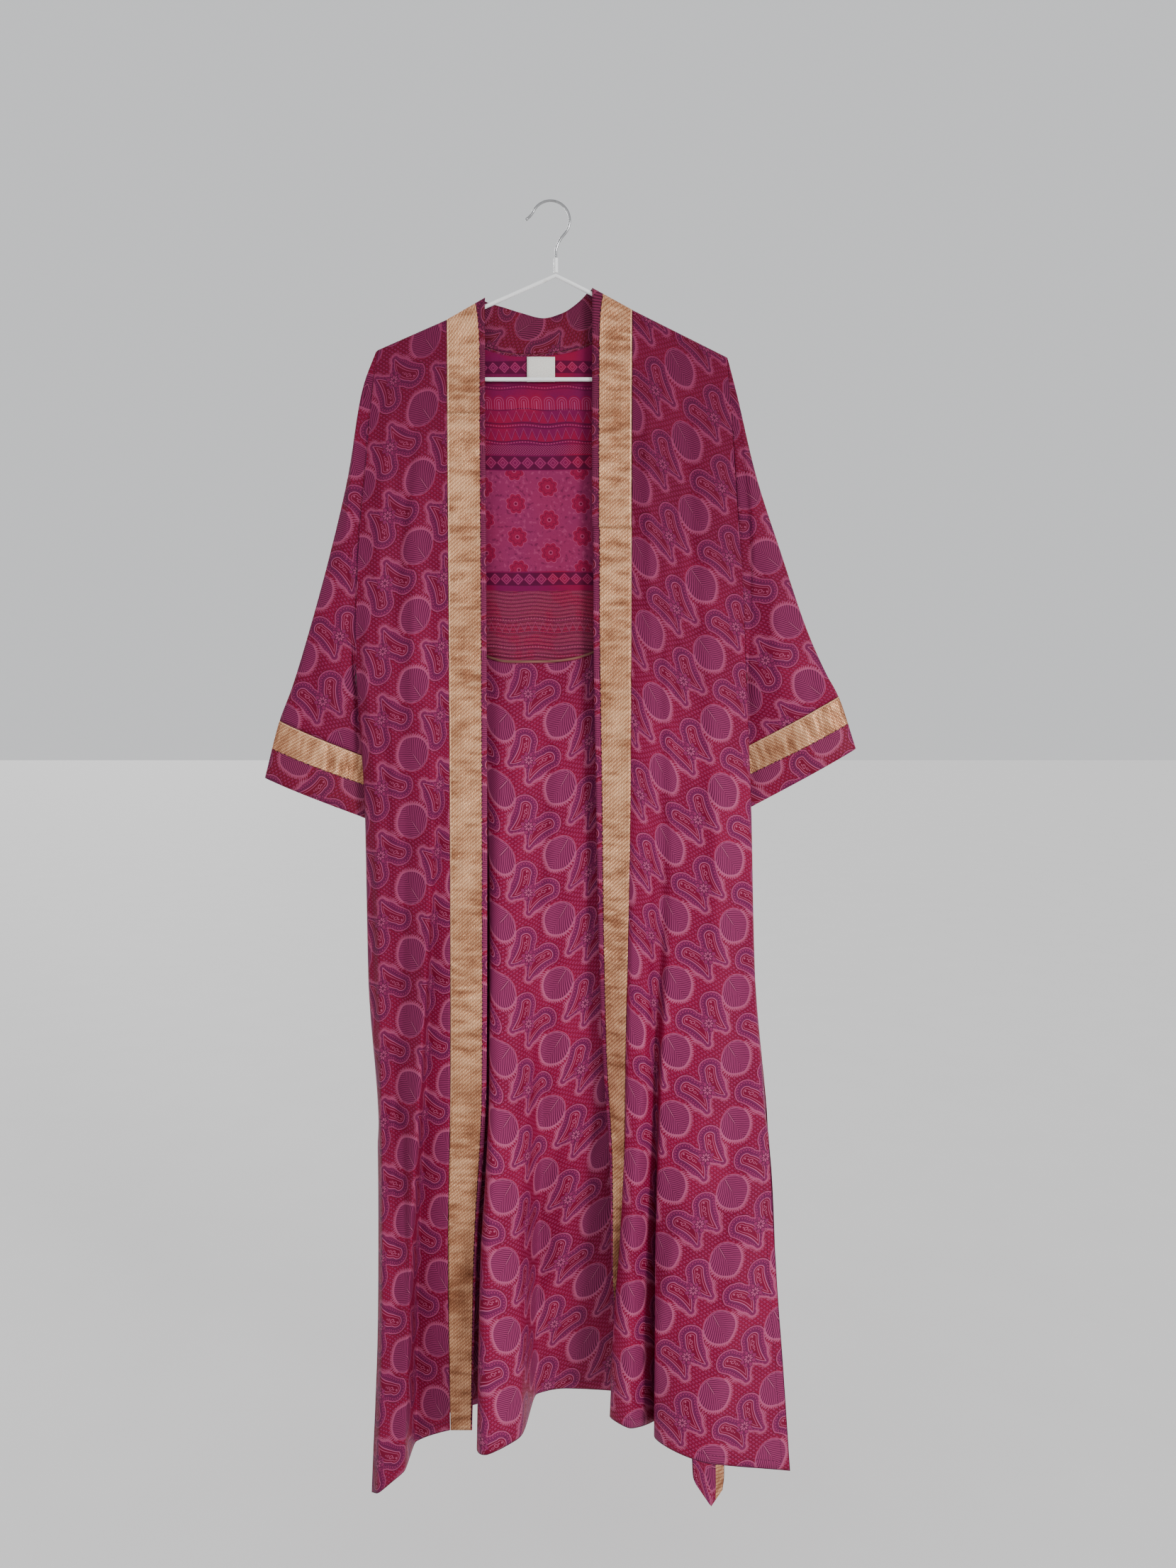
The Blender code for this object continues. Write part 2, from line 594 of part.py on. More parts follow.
def make_belt_loops(back, silk, parts):
    """A narrow strap by each side seam. The belt passes through the left one."""
    belt_y = BELT[BELT_IN_LOOP][1]
    for side, name in ((-1, "belt_loop_right"), (1, "belt_loop_left")):
        x = BELT_LOOP_X[side]
        middle = back_depth(back, x, BELT_LOOP_TOP - BELT_LOOP_HEIGHT / 2)
        held = belt_y + (BELT_CLOTH + LOOP_CLOTH) / 2 + SEAM_GAP
        seat = (CLOTH + LOOP_CLOTH) / 2 + SEAM_GAP
        bow = held - middle - seat if side > 0 else 0
        rows = []
        for i in range(9):
            u = i / 8
            z = BELT_LOOP_TOP - BELT_LOOP_HEIGHT * u
            y = back_depth(back, x, z) + seat + bow * math.sin(math.pi * u) ** 0.5
            rows.append([(x - 2, y, z), (x + 2, y, z)])
        loft(name, rows, LOOP_CLOTH, silk, parts)


def back_depth(rows, x, z):
    """Depth of a panel's middle at x and z, read between its rows and columns."""
    levels = []
    for row in rows[ROLLED:]:
        k = max(i for i, p in enumerate(row[:-1]) if p[0] <= x)
        here, after = row[k], row[k + 1]
        u = (x - here[0]) / (after[0] - here[0])
        levels.append((here[2] + (after[2] - here[2]) * u, here[1] + (after[1] - here[1]) * u))
    for (high, y_high), (low, y_low) in zip(levels, levels[1:]):
        if low <= z <= high:
            return y_high + (y_low - y_high) * (high - z) / (high - low)
    return levels[-1][1]


def build():
    for obj in list(bpy.data.objects):
        bpy.data.objects.remove(obj, do_unlink=True)
    parts = bpy.data.collections.new("kimono_on_hanger")
    bpy.context.scene.collection.children.link(parts)

    silk = material("Printed silk", (0.36, 0.02, 0.13), 0.5)
    lining_silk = material("Border silk", (0.45, 0.04, 0.14), 0.55)
    band_silk = material("Silk with gold border", (0.42, 0.24, 0.14), 0.45, 0.3)
    linen = material("White label tape", (0.82, 0.8, 0.77), 0.8)
    coat = material("White coated wire", (0.86, 0.86, 0.86), 0.35)
    chrome = material("Chrome wire", (0.6, 0.6, 0.62), 0.15, 1.0)

    make_hanger(parts, coat, chrome)

    right = panel_rows(FRONT_RIGHT, FRONT_RIGHT_CELLS, -1)
    left = panel_rows(FRONT_LEFT, FRONT_LEFT_CELLS, -1)
    back = panel_rows(BACK, BACK_CELLS, 1)
    loft("front_right", right, CLOTH, silk, parts)
    loft("front_left", left, CLOTH, silk, parts)
    loft("back", back, CLOTH, silk, parts)

    join_right, join_left = (ROLLED + NECKBAND_JOIN[side] - 1 for side in (-1, 1))
    front_band("neckband_right", right, -1, BAND_RIGHT, join_right, band_silk, parts)
    front_band("neckband_left", left, 0, BAND_LEFT, join_left, band_silk, parts)
    make_neckband(right, left, back, band_silk, parts)

    armhole = ROLLED + ARM_ROWS
    make_sleeve("sleeve_right", "cuff_right", SLEEVE_RIGHT, [row[0] for row in right[:armhole]],
                [row[0] for row in back[:armhole]], -1, silk, band_silk, parts)
    make_sleeve("sleeve_left", "cuff_left", SLEEVE_LEFT, [row[-1] for row in left[:armhole]],
                [row[-1] for row in back[:armhole]], 1, silk, band_silk, parts)

    make_lining(back, lining_silk, parts)
    make_label(linen, parts)
    make_belt(silk, parts)
    make_belt_loops(back, silk, parts)


build()
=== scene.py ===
"""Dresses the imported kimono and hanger: silk cloth with its print, borders, folds and stitching.

Tables are in millimetres in the frame of the part: +Z is up, the robe's front faces -Y and the
wearer's right is at -X. The cloth is built again from the same sections as the solids, finer.
"""

import json
import math

import bmesh
import bpy
import numpy as np
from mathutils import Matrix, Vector

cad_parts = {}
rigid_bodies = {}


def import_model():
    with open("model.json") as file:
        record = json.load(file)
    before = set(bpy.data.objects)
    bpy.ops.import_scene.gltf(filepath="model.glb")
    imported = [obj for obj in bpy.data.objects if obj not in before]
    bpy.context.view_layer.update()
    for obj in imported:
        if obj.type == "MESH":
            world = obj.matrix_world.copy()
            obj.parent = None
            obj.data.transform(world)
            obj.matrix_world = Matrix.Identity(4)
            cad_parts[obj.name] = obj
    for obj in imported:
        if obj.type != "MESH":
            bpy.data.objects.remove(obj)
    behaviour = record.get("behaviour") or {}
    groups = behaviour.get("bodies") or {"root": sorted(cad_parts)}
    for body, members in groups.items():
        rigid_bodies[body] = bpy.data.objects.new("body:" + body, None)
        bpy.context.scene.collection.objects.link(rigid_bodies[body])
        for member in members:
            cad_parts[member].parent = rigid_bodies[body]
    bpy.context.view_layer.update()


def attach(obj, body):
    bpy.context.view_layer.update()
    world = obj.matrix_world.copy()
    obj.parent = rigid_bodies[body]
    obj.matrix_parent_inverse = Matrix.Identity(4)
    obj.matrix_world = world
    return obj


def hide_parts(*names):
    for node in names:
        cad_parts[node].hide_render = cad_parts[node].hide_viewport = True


MM = 0.001
# A distance to the hem where there is none
FAR = 99.0

# Sizes shared with the solids
WIRE_RADIUS, HOOK_RADIUS, NECK_RADIUS, BALL_RADIUS = 2.4, 1.5, 2.7, 1.75
DRAPE_RADIUS = 3.6
SEAM_GAP = 0.1
APEX_X, APEX_Z, BAR_Z, NECK_TOP = 5.3, -84.0, -203.3, -64.0
SLOPE = {-1: 0.43, 1: 0.49}
SHOULDER_END = {-1: -185.0, 1: 192.0}
NECK_POINT = {-1: -122.6, 1: 94.8}
NECK_DEPTH, NECK_Y, NECK_RISE = 40.0, 7.0, 25.0
CORNER_STEP = 1.1
CORNER_WIDTH, NECK_BLEND = 3 * CORNER_STEP, 30.0
SIDE_FROM, SIDE_ROUND = 190.0, 5.0
SIDE_SPOTS = (1.2, 4.6)
EDGE_GAP = 0.12
BAND_WIDTH = 45.0
UNDERARM, VENT_TOP = 0.272, 0.68

# Fine cells for each coarse one of the solids, down and across
ARM_ROWS, SIDE_ROWS, VENT_ROWS = 10, 8, 7
FINE_DOWN, FINE_ACROSS = 8, 4
ROLL_STEPS = 9
ROLL_CLEAR = 0.03
SILK, BAND_SILK, CUFF_SILK = 0.7, 1.1, 1.0

# A section at each fraction of the drop: x and y of each named line of the cloth.
# Wearer's right front: side edge, swell, dip, lip of the deep fold, its gutter, band seam.
FRONT_RIGHT = (
    (0.00, -203, 0, -187, 0, -171, 0, -155, 0, -139, 0, -122.6, 0),
    (0.03, -209, -5, -191, -4, -174, -4, -157, -4, -140, -4, -122.6, -4),
    (0.10, -219, -5, -200, -7, -181, -6, -162, -7, -142, -6, -122.6, -6),
    (0.18, -229, -5, -209, -8, -187, -6, -164, -9, -143, -6, -122.4, -7),
    (0.272, -233, -3.5, -215, -9, -191, -7, -160, -12, -141, -7, -122.2, -8),
    (0.40, -225, -6, -206, -13, -187, -9, -143, -16, -133, -9, -122.2, -10),
    (0.55, -223, -7, -206, -18, -190, -11, -150, -25, -144, -9, -122.6, -12),
    (0.68, -212, -12, -203, -27, -191, -18, -160, -34, -153, -9, -123.5, -14),
    (0.84, -209, -35, -201, -46, -191, -41, -170, -48, -164, -9, -127.5, -16),
    (1.00, -215, -56, -204, -67, -192, -64, -176, -58, -169, -9, -126, -17),
)
# Wearer's left front: band seam, roll, crest, gutter, lip, swell, side edge.
FRONT_LEFT = (
    (0.00, 94.8, 0, 112, 0, 130, 0, 149, 0, 168, 0, 187, 0, 206, 0),
    (0.03, 94.8, -4, 113, -4, 131, -4, 151, -4, 170, -4, 190, -4, 209, -5),
    (0.10, 94.6, -6, 110, -7, 128, -7, 147, -6, 166, -7, 194, -7, 218, -5),
    (0.18, 94.6, -7, 108, -9, 124, -9, 143, -7, 162, -9, 196, -8, 225, -5),
    (0.272, 94.4, -8, 105, -10, 120, -11, 140, -8, 158, -11, 197, -9, 231, -3.5),
    (0.40, 94.0, -12, 102, -15, 116, -16, 135, -11, 150, -14, 195, -15, 239, -6),
    (0.55, 91.5, -20, 97, -24, 111, -25, 130, -13, 141, -20, 188, -24, 245, -8),
    (0.68, 88.0, -26, 91, -32, 106, -35, 126, -12, 131, -27, 182, -36, 259, -18),
    (0.84, 87.0, -15, 81, -28, 94, -39, 126, -9, 124, -33, 176, -52, 271, -34),
    (0.90, 87.4, -14, 75, -28, 93, -41, 126, -8, 123.6, -36, 177, -57, 277, -38),
    (1.00, 88.0, -11, 69.6, -28, 91, -43, 127, -6, 122.8, -40, 178, -66, 286, -45),
)
# Back: side edge, shoulder, neck point, edge of the big fold, crest, slope, hollow, swell, flat,
# neck point, shoulder, side edge.
BACK = (
    (0.00, -203, 0, -165, 0, -122.6, 0, -101, 6, -76, 7, -46, 7, -12, 7, 24, 7, 62, 6,
     94.8, 0, 150, 0, 206, 0),
    (0.03, -209, 5, -168, 5, -122.6, 5, -98, 7, -74, 7, -45, 7, -12, 7, 24, 7, 62, 7,
     94.8, 5, 152, 5, 209, 5),
    (0.10, -219, 5, -173, 8, -120, 8, -93, 8, -68, 8, -41, 8, -10, 8, 24, 8, 62, 8,
     100, 8, 156, 8, 218, 5),
    (0.272, -233, 3.5, -178, 8, -110, 9, -84, 10, -62, 8, -36, 9, -9, 10, 22, 8, 60, 10,
     108, 9, 165, 8, 231, 3.5),
    (0.40, -225, 5, -172, 9, -92, 12, -76, 5, -60, 0, -35, 4, -9, 10, 20, 7, 58, 12,
     112, 11, 172, 9, 239, 5),
    (0.55, -223, 5, -168, 11, -81, 14, -75, -4, -62, -9, -36, -2, -8, 11, 20, 8, 60, 15,
     120, 14, 180, 12, 245, 5),
    (0.68, -212, 5, -162, 14, -79, 16, -75, -19, -64, -26, -36, -14, -10, 14, 20, 11, 62, 18,
     126, 17, 190, 14, 261, 4),
    (0.76, -207, 6, -158, 15, -82, 18, -79, -31, -69, -40, -37, -23, -13, 17, 18, 15, 64, 20,
     130, 18, 196, 16, 270, 2),
    (0.84, -205, 8, -156, 17, -87, 20, -85, -43, -74, -54, -38, -34, -16, 20, 16, 20, 66, 22,
     134, 20, 200, 18, 274, 4),
    (1.00, -201, 12, -152, 20, -90, 22, -88, -69, -75, -84, -36, -56, -21, 22, 14, 26, 70, 25,
     140, 23, 204, 21, 267, 14),
)
FRONT_RIGHT_CELLS = (4, 2, 3, 3, 3)
FRONT_LEFT_CELLS = (2, 3, 3, 2, 3, 5)
BACK_CELLS = (4, 2, 5, 3, 3, 4, 2, 2, 5, 2, 4)
BACK_NECK_CELLS = (2, 8)

# Level of the hem at a few places across
HEM_LEVELS = (
    (-215, -1524), (-150, -1482), (-90, -1462), (-30, -1452), (14, -1446), (70, -1448),
    (125, -1466), (180, -1480), (290, -1506),
)

# Neck piece round the back: x of its seam, then x, y and z of its free edge
NECKBAND = (
    (-122.6, -79.3, 0.0, -111.0), (-121.5, -79.0, 1.9, -111.2), (-120.4, -78.6, 3.2, -111.5),
    (-119.3, -78.2, 4.1, -111.8), (-112, -76.5, 5.0, -112.5), (-96, -72, 6.0, -114.0),
    (-76, -58, 7.5, -117.5), (-46, -36, 8.2, -124.0), (-12, -10, 8.5, -130.0),
    (24, 13, 8.5, -124.0), (48, 29.5, 8.2, -113.5), (68, 39, 7.0, -105.0), (84, 44, 5.4, -100.0),
    (91.5, 46.4, 4.1, -99.0), (92.6, 46.8, 3.2, -98.8), (93.7, 47.2, 1.9, -98.6),
    (94.8, 47.5, 0.0, -98.5),
)
NECKBAND_JOIN = {-1: 3, 1: 7}
BAND_GAP, BAND_TURN_GAP, BAND_CELLS = 0.15, 0.5, 14
# How far along its print each band starts: neck, right and left
NECK_PRINT, RIGHT_PRINT, LEFT_PRINT = 1400.0, 300.0, 0.0

# Free edge of each front band: fraction of the drop, x and y from the seam, and how far across the
# flat band it lies. Lower down the seam side turns under.
BAND_RIGHT = (
    (0.0, 45, -1, 45), (0.4, 45, -1, 45), (0.68, 44, -1, 44), (0.84, 35, -1, 42), (1.0, 27, 0, 40),
)
BAND_LEFT = (
    (0.0, -46, -1, 46), (0.272, -45, 0, 46), (0.40, -42, 6, 46), (0.55, -36, 20, 46),
    (0.68, -26, 24, 45), (0.76, -18, 8, 42), (0.84, -15.5, -6, 40), (0.872, -15, -8, 39.5),
    (0.90, -11, -6, 39), (1.0, -3, 3, 39),
)

# Sleeves: fraction of the length, x and z of the outer fold, x, y and z of the underarm line
SLEEVE_RIGHT = (
    (0.00, -203.4, -166, -233.6, 0, -541),
    (0.12, -222, -215, -236, 4, -557),
    (0.28, -240, -313, -233, 9, -575),
    (0.45, -263, -405, -229, 12, -592),
    (0.65, -290, -498, -225, 13, -612),
    (0.78, -312, -566, -223, 13.5, -630),
    (0.862, -327, -604, -221, 14, -650),
    (1.00, -346, -673, -219, 14, -726),
)
SLEEVE_LEFT = (
    (0.00, 206.4, -178, 231.6, 0, -541),
    (0.12, 218, -221, 234, 4.5, -556),
    (0.28, 241, -313, 230.5, 9.5, -573),
    (0.45, 272, -405, 229, 12, -590),
    (0.65, 305, -498, 227, 13, -606),
    (0.78, 328, -548, 226, 13.5, -622),
    (0.862, 343, -575, 226, 14, -640),
    (1.00, 365, -638, 228, 14, -716),
)
# How far a sleeve bulges out, its half depth, and how far back its fold lies at the cuff
SLEEVE_BULGE, SLEEVE_DEPTH, FOLD_BACK = 10.0, 8.5, 6.0
# The seam's drop below the underarm line, the half depth there, and how much lower creases lie behind
UNDERARM_DROP, UNDERARM_HALF, CREASE_LOWER = 2.5, 2.8, 25.0
SLEEVE_ROWS, CUFF_ROWS, CUFF_FROM, CUFF_GAP = 60, 16, 0.862, 0.3

# Lining: the lines of the back that it spans, and how its lower edge is lowered and sways
LINING_SPAN, LINING_BOTTOM, LINING_FORWARD = (3, 8), 0.28, 1.0
LINING_LOWER, LINING_SWAY, LINING_SWAY_LONG = 8.5, 1.4, 17.0
PRINT_TOP = -176.3
LABEL_LEFT, LABEL_WIDTH, LABEL_TOP, LABEL_HEIGHT = -29.0, 33.0, -176.0, 29.0
LABEL_Y, LABEL_CLOTH, LABEL_CELLS, LABEL_BOW, LABEL_RIPPLE = NECK_Y - 2.9, 0.6, 12, 0.5, 0.25

# Belt: x, y, z and width at each station. It hangs by its middle in one loop.
BELT = (
    (197, 29, -1603, 34), (196, 29, -1560, 40), (193, 28.5, -1480, 42), (186, 27, -1300, 42),
    (180, 25, -1100, 42), (176, 22.5, -900, 42), (174, 20, -750, 40), (172, 17, -670, 26),
    (169, 15, -625, 14), (163, 14, -603, 10), (151, 13.4, -594, 9), (139, 14, -603, 10),
    (133, 15, -625, 14), (130, 17, -670, 26), (128, 20, -750, 40), (126, 22.5, -900, 42),
    (125, 25, -1100, 42), (124, 27, -1330, 42),
)
BELT_CLOTH, BELT_BUNCH, BELT_IN_LOOP, LOOP_CLOTH = 1.2, 1.0, 10, 0.9
BELT_WIDTH, BELT_SLANT, BELT_TIP, BELT_STEPS, BELT_CELLS = 42.0, 26.0, 0.15, 14, 12
# The belt is bunched where it is narrow, and less so between these widths
BUNCH_WIDTHS = (14, 36)
BELT_LOOP_X = {-1: -165.0, 1: 151.0}
BELT_LOOP_TOP, BELT_LOOP_HEIGHT = -568.0, 52.0
# Gap between a strap and the back, and room for the belt in the left one
LOOP_GAP, LOOP_ROOM, LOOP_STEPS, LOOP_ACROSS = 0.3, 1.6, 24, (-2, -1, 0, 1, 2)

# Hook: the middle, radius and ends in degrees of its bend, then points of its tip and of its shank
HOOK_X, HOOK_BEND, BEND_FROM, BEND_TO, BEND_STEPS = -0.8, 22.5, 155, -40, 40
HOOK_TIP = [(-28.6, 0, -19.6), (-26.2, 0, -17.6), (-23.9, 0, -15.4)]
HOOK_SHANK = [(10.8, 0, -42.6), (7.0, 0, -50.0), (5.4, 0, -57.0)]
TIP_STEPS, SHANK_STEPS, SHOULDER_STEPS, END_STEPS = 6, 8, 12, 24
WIRE_FACETS, BALL_FACETS = 5, (24, 16)
# Gaps at the upper and the lower end of the hanger's neck
NECK_GAP, NECK_FOOT = 0.3, 0.6


def hermite(keys, values, at):
    """Smooth reading between rows that never swings past its neighbours."""
    if at <= keys[0]:
        return values[0]
    if at >= keys[-1]:
        return values[-1]
    i = max(k for k in range(len(keys) - 1) if keys[k] <= at)

    def step(k):
        return (values[k + 1] - values[k]) / (keys[k + 1] - keys[k])

    def slope(k):
        if k == 0:
            return step(0)
        if k == len(keys) - 1:
            return step(k - 1)
        before, after = step(k - 1), step(k)
        if before * after <= 0:
            return 0.0
        return 2 * before * after / (before + after)

    span = keys[i + 1] - keys[i]
    u = (at - keys[i]) / span
    start = (1 + 2 * u) * (1 - u) ** 2 * values[i] + u * (1 - u) ** 2 * span * slope(i)
    end = u * u * (3 - 2 * u) * values[i + 1] + u * u * (u - 1) * span * slope(i + 1)
    return start + end


def column(table, place):
    return [row[place] for row in table]


def station(rows, at):
    """One row of a table, read smoothly at a count of its rows."""
    keys = list(range(len(rows)))
    return [hermite(keys, column(rows, k), at) for k in range(len(rows[0]))]


def read(table, at):
    """One row of a table, read smoothly at a value of its first column."""
    keys = column(table, 0)
    return [hermite(keys, column(table, k), at) for k in range(1, len(table[0]))]


def smoothstep(low, high, value):
    u = min(max((value - low) / (high - low), 0.0), 1.0)
    return u * u * (3 - 2 * u)


def wire_z(x):
    side = -1 if x < APEX_X else 1
    return APEX_Z - SLOPE[side] * abs(x - APEX_X)


def shoulder_z(x):
    """Level of the middle of the cloth where it rides over the wire."""
    side = -1 if x < APEX_X else 1
    return wire_z(x) + DRAPE_RADIUS * math.sqrt(1 + SLOPE[side] ** 2)


def neckline_z(x):
    """Level of the back's neck edge, a scoop between the two corners behind the wire."""
    left, right = NECK_POINT[-1] + CORNER_WIDTH, NECK_POINT[1] - CORNER_WIDTH
    middle, half = (left + right) / 2, (right - left) / 2
    share = (x - left) / (right - left)
    level = wire_z(left) * (1 - share) + wire_z(right) * share
    return level - NECK_DEPTH * (1 - abs((x - middle) / half) ** 2.6)


def top_z(x):
    if NECK_POINT[-1] + CORNER_WIDTH < x < NECK_POINT[1] - CORNER_WIDTH:
        return neckline_z(x)
    return shoulder_z(x)


def inside_neck(x):
    """How far x lies inside the nearer corner of the neck."""
    return min(x - NECK_POINT[-1], NECK_POINT[1] - x)


def neck_depth(x):
    """How far behind the wire the neck edge of the back lies."""
    inside = smoothstep(CORNER_WIDTH, NECK_BLEND, inside_neck(x))
    return DRAPE_RADIUS + (NECK_Y - DRAPE_RADIUS) * inside


def drop_rows():
    """Fractions of the drop at which the panels have their rows, below the roll."""
    rows = []
    for start, end, coarse in (
        (0, UNDERARM, ARM_ROWS), (UNDERARM, VENT_TOP, SIDE_ROWS), (VENT_TOP, 1, VENT_ROWS),
    ):
        count = coarse * FINE_DOWN
        rows += [start + (end - start) * i / count for i in range(1, count + 1)]
    return rows


DROPS = drop_rows()
STEPS = [0.0] * ROLL_STEPS + DROPS


def spots(xs, cells, at):
    """Where a panel's columns lie, counted in lines. They crowd at side edges and neck corners."""
    places = []
    last = len(cells) - 1
    free = smoothstep(0.0, 0.06, at)
    for k, count in enumerate(cells):
        width = abs(xs[k + 1] - xs[k])
        even = [i / count for i in range(count + 1)]
        crowd = [0.0] + [min(d / width, 0.1 * (i + 1)) for i, d in enumerate(SIDE_SPOTS)]
        corner = [i * CORNER_STEP / width for i in range(4)]
        corner += [corner[3] + (1 - corner[3]) * i / (count - 3) for i in range(1, count - 2)]
        if k == 0 and abs(xs[0]) > SIDE_FROM:
            shares = crowd + [0.3 + 0.7 * i / (count - 2) for i in range(1, count - 2)]
        elif k == last and abs(xs[-1]) > SIDE_FROM:
            start = [0.7 * i / (count - 2) for i in range(count - 2)]
            shares = start + [1 - share for share in reversed(crowd[1:])]
        elif len(cells) == len(BACK_CELLS) and k in BACK_NECK_CELLS:
            if k == BACK_NECK_CELLS[1]:
                corner = [1 - share for share in reversed(corner)]
            shares = [a + (b - a) * free for a, b in zip(corner, even)][:-1]
        else:
            shares = even[:-1]
        places += [k + share for share in shares]
    places.append(last + 1)
    fine = []
    for a, b in zip(places, places[1:]):
        fine += [a + (b - a) * i / FINE_ACROSS for i in range(FINE_ACROSS)]
    fine.append(places[-1])
    return fine


def section(table, cells, at):
    """Points (x, y) across a panel at one fraction of the drop, smooth through its lines."""
    values = read(table, at)
    xs, ys = values[0::2], values[1::2]
    keys = list(range(len(xs)))
    return [(hermite(keys, xs, spot), hermite(keys, ys, spot)) for spot in spots(xs, cells, at)]


def round_side(points, at, face):
    """Turns the side edge towards the other panel below the underarm, where the side seam is."""
    turn = smoothstep(UNDERARM, UNDERARM + 0.03, at)
    turn *= 1 - smoothstep(VENT_TOP, VENT_TOP + 0.02, at)
    sides = [p[0] for p in (points[0], points[-1]) if abs(p[0]) > SIDE_FROM]
    out = []
    for x, y in points:
        near = min(abs(x - side) for side in sides)
        share = min(near / SIDE_ROUND, 1.0)
        profile = math.sqrt(1 - (1 - share) ** 2)
        edge = face * EDGE_GAP
        out.append((x, y + (edge + (y - edge) * profile - y) * turn))
    return out


def roll_point(x, y, angle, face):
    """A point where a panel rolls over the wire, or hangs free inside the neck."""
    inside = inside_neck(x)
    rise = shoulder_z(x) - DRAPE_RADIUS
    if inside >= CORNER_WIDTH:
        lower = 1 - math.cos(math.radians(angle))
        return (x, face * y, neckline_z(x) - DRAPE_RADIUS * lower)
    share = max(inside, 0.0) / CORNER_WIDTH
    turned = math.radians(90 * share + (90 - 90 * share) * angle / 90)
    deep = max(DRAPE_RADIUS * math.sin(turned), EDGE_GAP)
    sink = share * DRAPE_RADIUS * (1 - math.cos(math.radians(angle)))
    return (x, face * deep, rise + DRAPE_RADIUS * math.cos(turned) - sink)


def panel_rows(table, cells, face):
    """All rows of a body panel as an array of points. face is -1 for a front, 1 for the back."""
    top = section(table, cells, 0.0)
    hem_keys, hem_values = column(HEM_LEVELS, 0), column(HEM_LEVELS, 1)
    hem = [hermite(hem_keys, hem_values, x) for x, _ in section(table, cells, 1.0)]
    rows = []
    for i in range(ROLL_STEPS):
        angle = 90 * i / ROLL_STEPS
        rows.append([roll_point(x, neck_depth(x), angle, face) for x, y in top])
    for at in DROPS:
        row = []
        across = round_side(section(table, cells, at), at, face)
        for (x, y), (x0, _), low in zip(across, top, hem):
            start = top_z(x0)
            if at < ROLL_CLEAR:
                y = face * max(face * y, DRAPE_RADIUS)
            row.append((x, y, start + (low - start) * at))
        rows.append(row)
    return np.array(rows)


def lengths(points, axis):
    """Running length of cloth along an axis of a grid of points."""
    steps = np.linalg.norm(np.diff(points, axis=axis), axis=2)
    pad = [(0, 0), (0, 0)]
    pad[axis] = (1, 0)
    return np.pad(np.cumsum(steps, axis=axis), pad)


def flat_place(points):
    """Running lengths across and down a grid of points, which lay it out flat."""
    return lengths(points, 1), lengths(points, 0)


def creased(points, creases, across, down):
    """Moves points towards the front or back along soft troughs and ridges.

    A crease's row has the cloth place of its two ends, its half width and its height.
    """
    moved = points.copy()
    for u0, v0, u1, v1, width, height in creases:
        start, run = np.array((u0, v0)), np.array((u1 - u0, v1 - v0))
        size = max(np.linalg.norm(run), 1e-6)
        away = np.stack((across - start[0], down - start[1]), axis=-1)
        along = np.clip(away @ run / size ** 2, 0, 1)
        distance = np.linalg.norm(away - along[..., None] * run, axis=-1)
        fade = np.sin(np.pi * (0.1 + 0.8 * along)) ** 1.5
        moved[..., 1] -= height * fade * np.exp(-(distance / width) ** 2)
    return moved


def linked(name, data):
    """A new object of the scene that shows a mesh, curve, light or camera."""
    obj = bpy.data.objects.new(name, data)
    bpy.context.scene.collection.objects.link(obj)
    return obj


def smooth_object(name, mesh, material):
    for polygon in mesh.polygons:
        polygon.use_smooth = True
    mesh.materials.append(material)
    return linked(name, mesh)


def sheet_object(name, points, thickness, material, flat, closed=False, hems=None, back=None):
    """A thin cloth shell through a grid of points, with its flat place in metres as its UV map.

    hems gives each point's distance to its hemmed edge across and down, as a second map. back is
    the material of the second side, where it differs.
    """
    rows, count = points.shape[:2]
    faces, corners = [], []
    for r in range(rows - 1):
        for k in range(count if closed else count - 1):
            upper, lower, after = r * count, (r + 1) * count, (k + 1) % count
            faces.append((upper + k, lower + k, lower + after, upper + after))
            corners += [(r, k), (r + 1, k), (r + 1, k + 1), (r, k + 1)]
    mesh = bpy.data.meshes.new(name)
    mesh.from_pydata((points.reshape(-1, 3) * MM).tolist(), [], faces)
    down, across = np.array(corners).T
    for title, places in (("Cloth", flat), ("Hem", hems)):
        if places is not None:
            values = np.stack([place[down, across] for place in places], axis=1) * MM
            layer = mesh.uv_layers.new(name=title)
            layer.data.foreach_set("uv", values.astype(np.float32).ravel())
    obj = smooth_object(name, mesh, material)
    wall = obj.modifiers.new("Cloth wall", "SOLIDIFY")
    wall.thickness = thickness * MM
    wall.offset = 0.0
    wall.use_rim = True
    if back is not None:
        mesh.materials.append(back)
        wall.material_offset = 1
    return obj


def wire(name, points, radius, material, cyclic=False):
    curve = bpy.data.curves.new(name, "CURVE")
    curve.dimensions = "3D"
    curve.bevel_depth = radius * MM
    curve.bevel_resolution = WIRE_FACETS
    curve.use_fill_caps = True
    spline = curve.splines.new("POLY")
    spline.points.add(len(points) - 1)
    for point, place in zip(spline.points, points):
        point.co = (*(Vector(place) * MM), 1.0)
    spline.use_cyclic_u = cyclic
    spline.use_smooth = True
    curve.materials.append(material)
    return linked(name, curve)


def arc(centre, radius, start, end, steps):
    """Points on an arc in the X-Z plane, by angles in degrees from +X towards +Z."""
    points = []
    for i in range(steps + 1):
        a = math.radians(start + (end - start) * i / steps)
        points.append((centre[0] + radius * math.cos(a), 0, centre[1] + radius * math.sin(a)))
    return points


def rounded(points, steps):
    """A smooth line through points, read with the same curve as the tables."""
    return [tuple(station(points, i / steps)) for i in range((len(points) - 1) * steps + 1)]


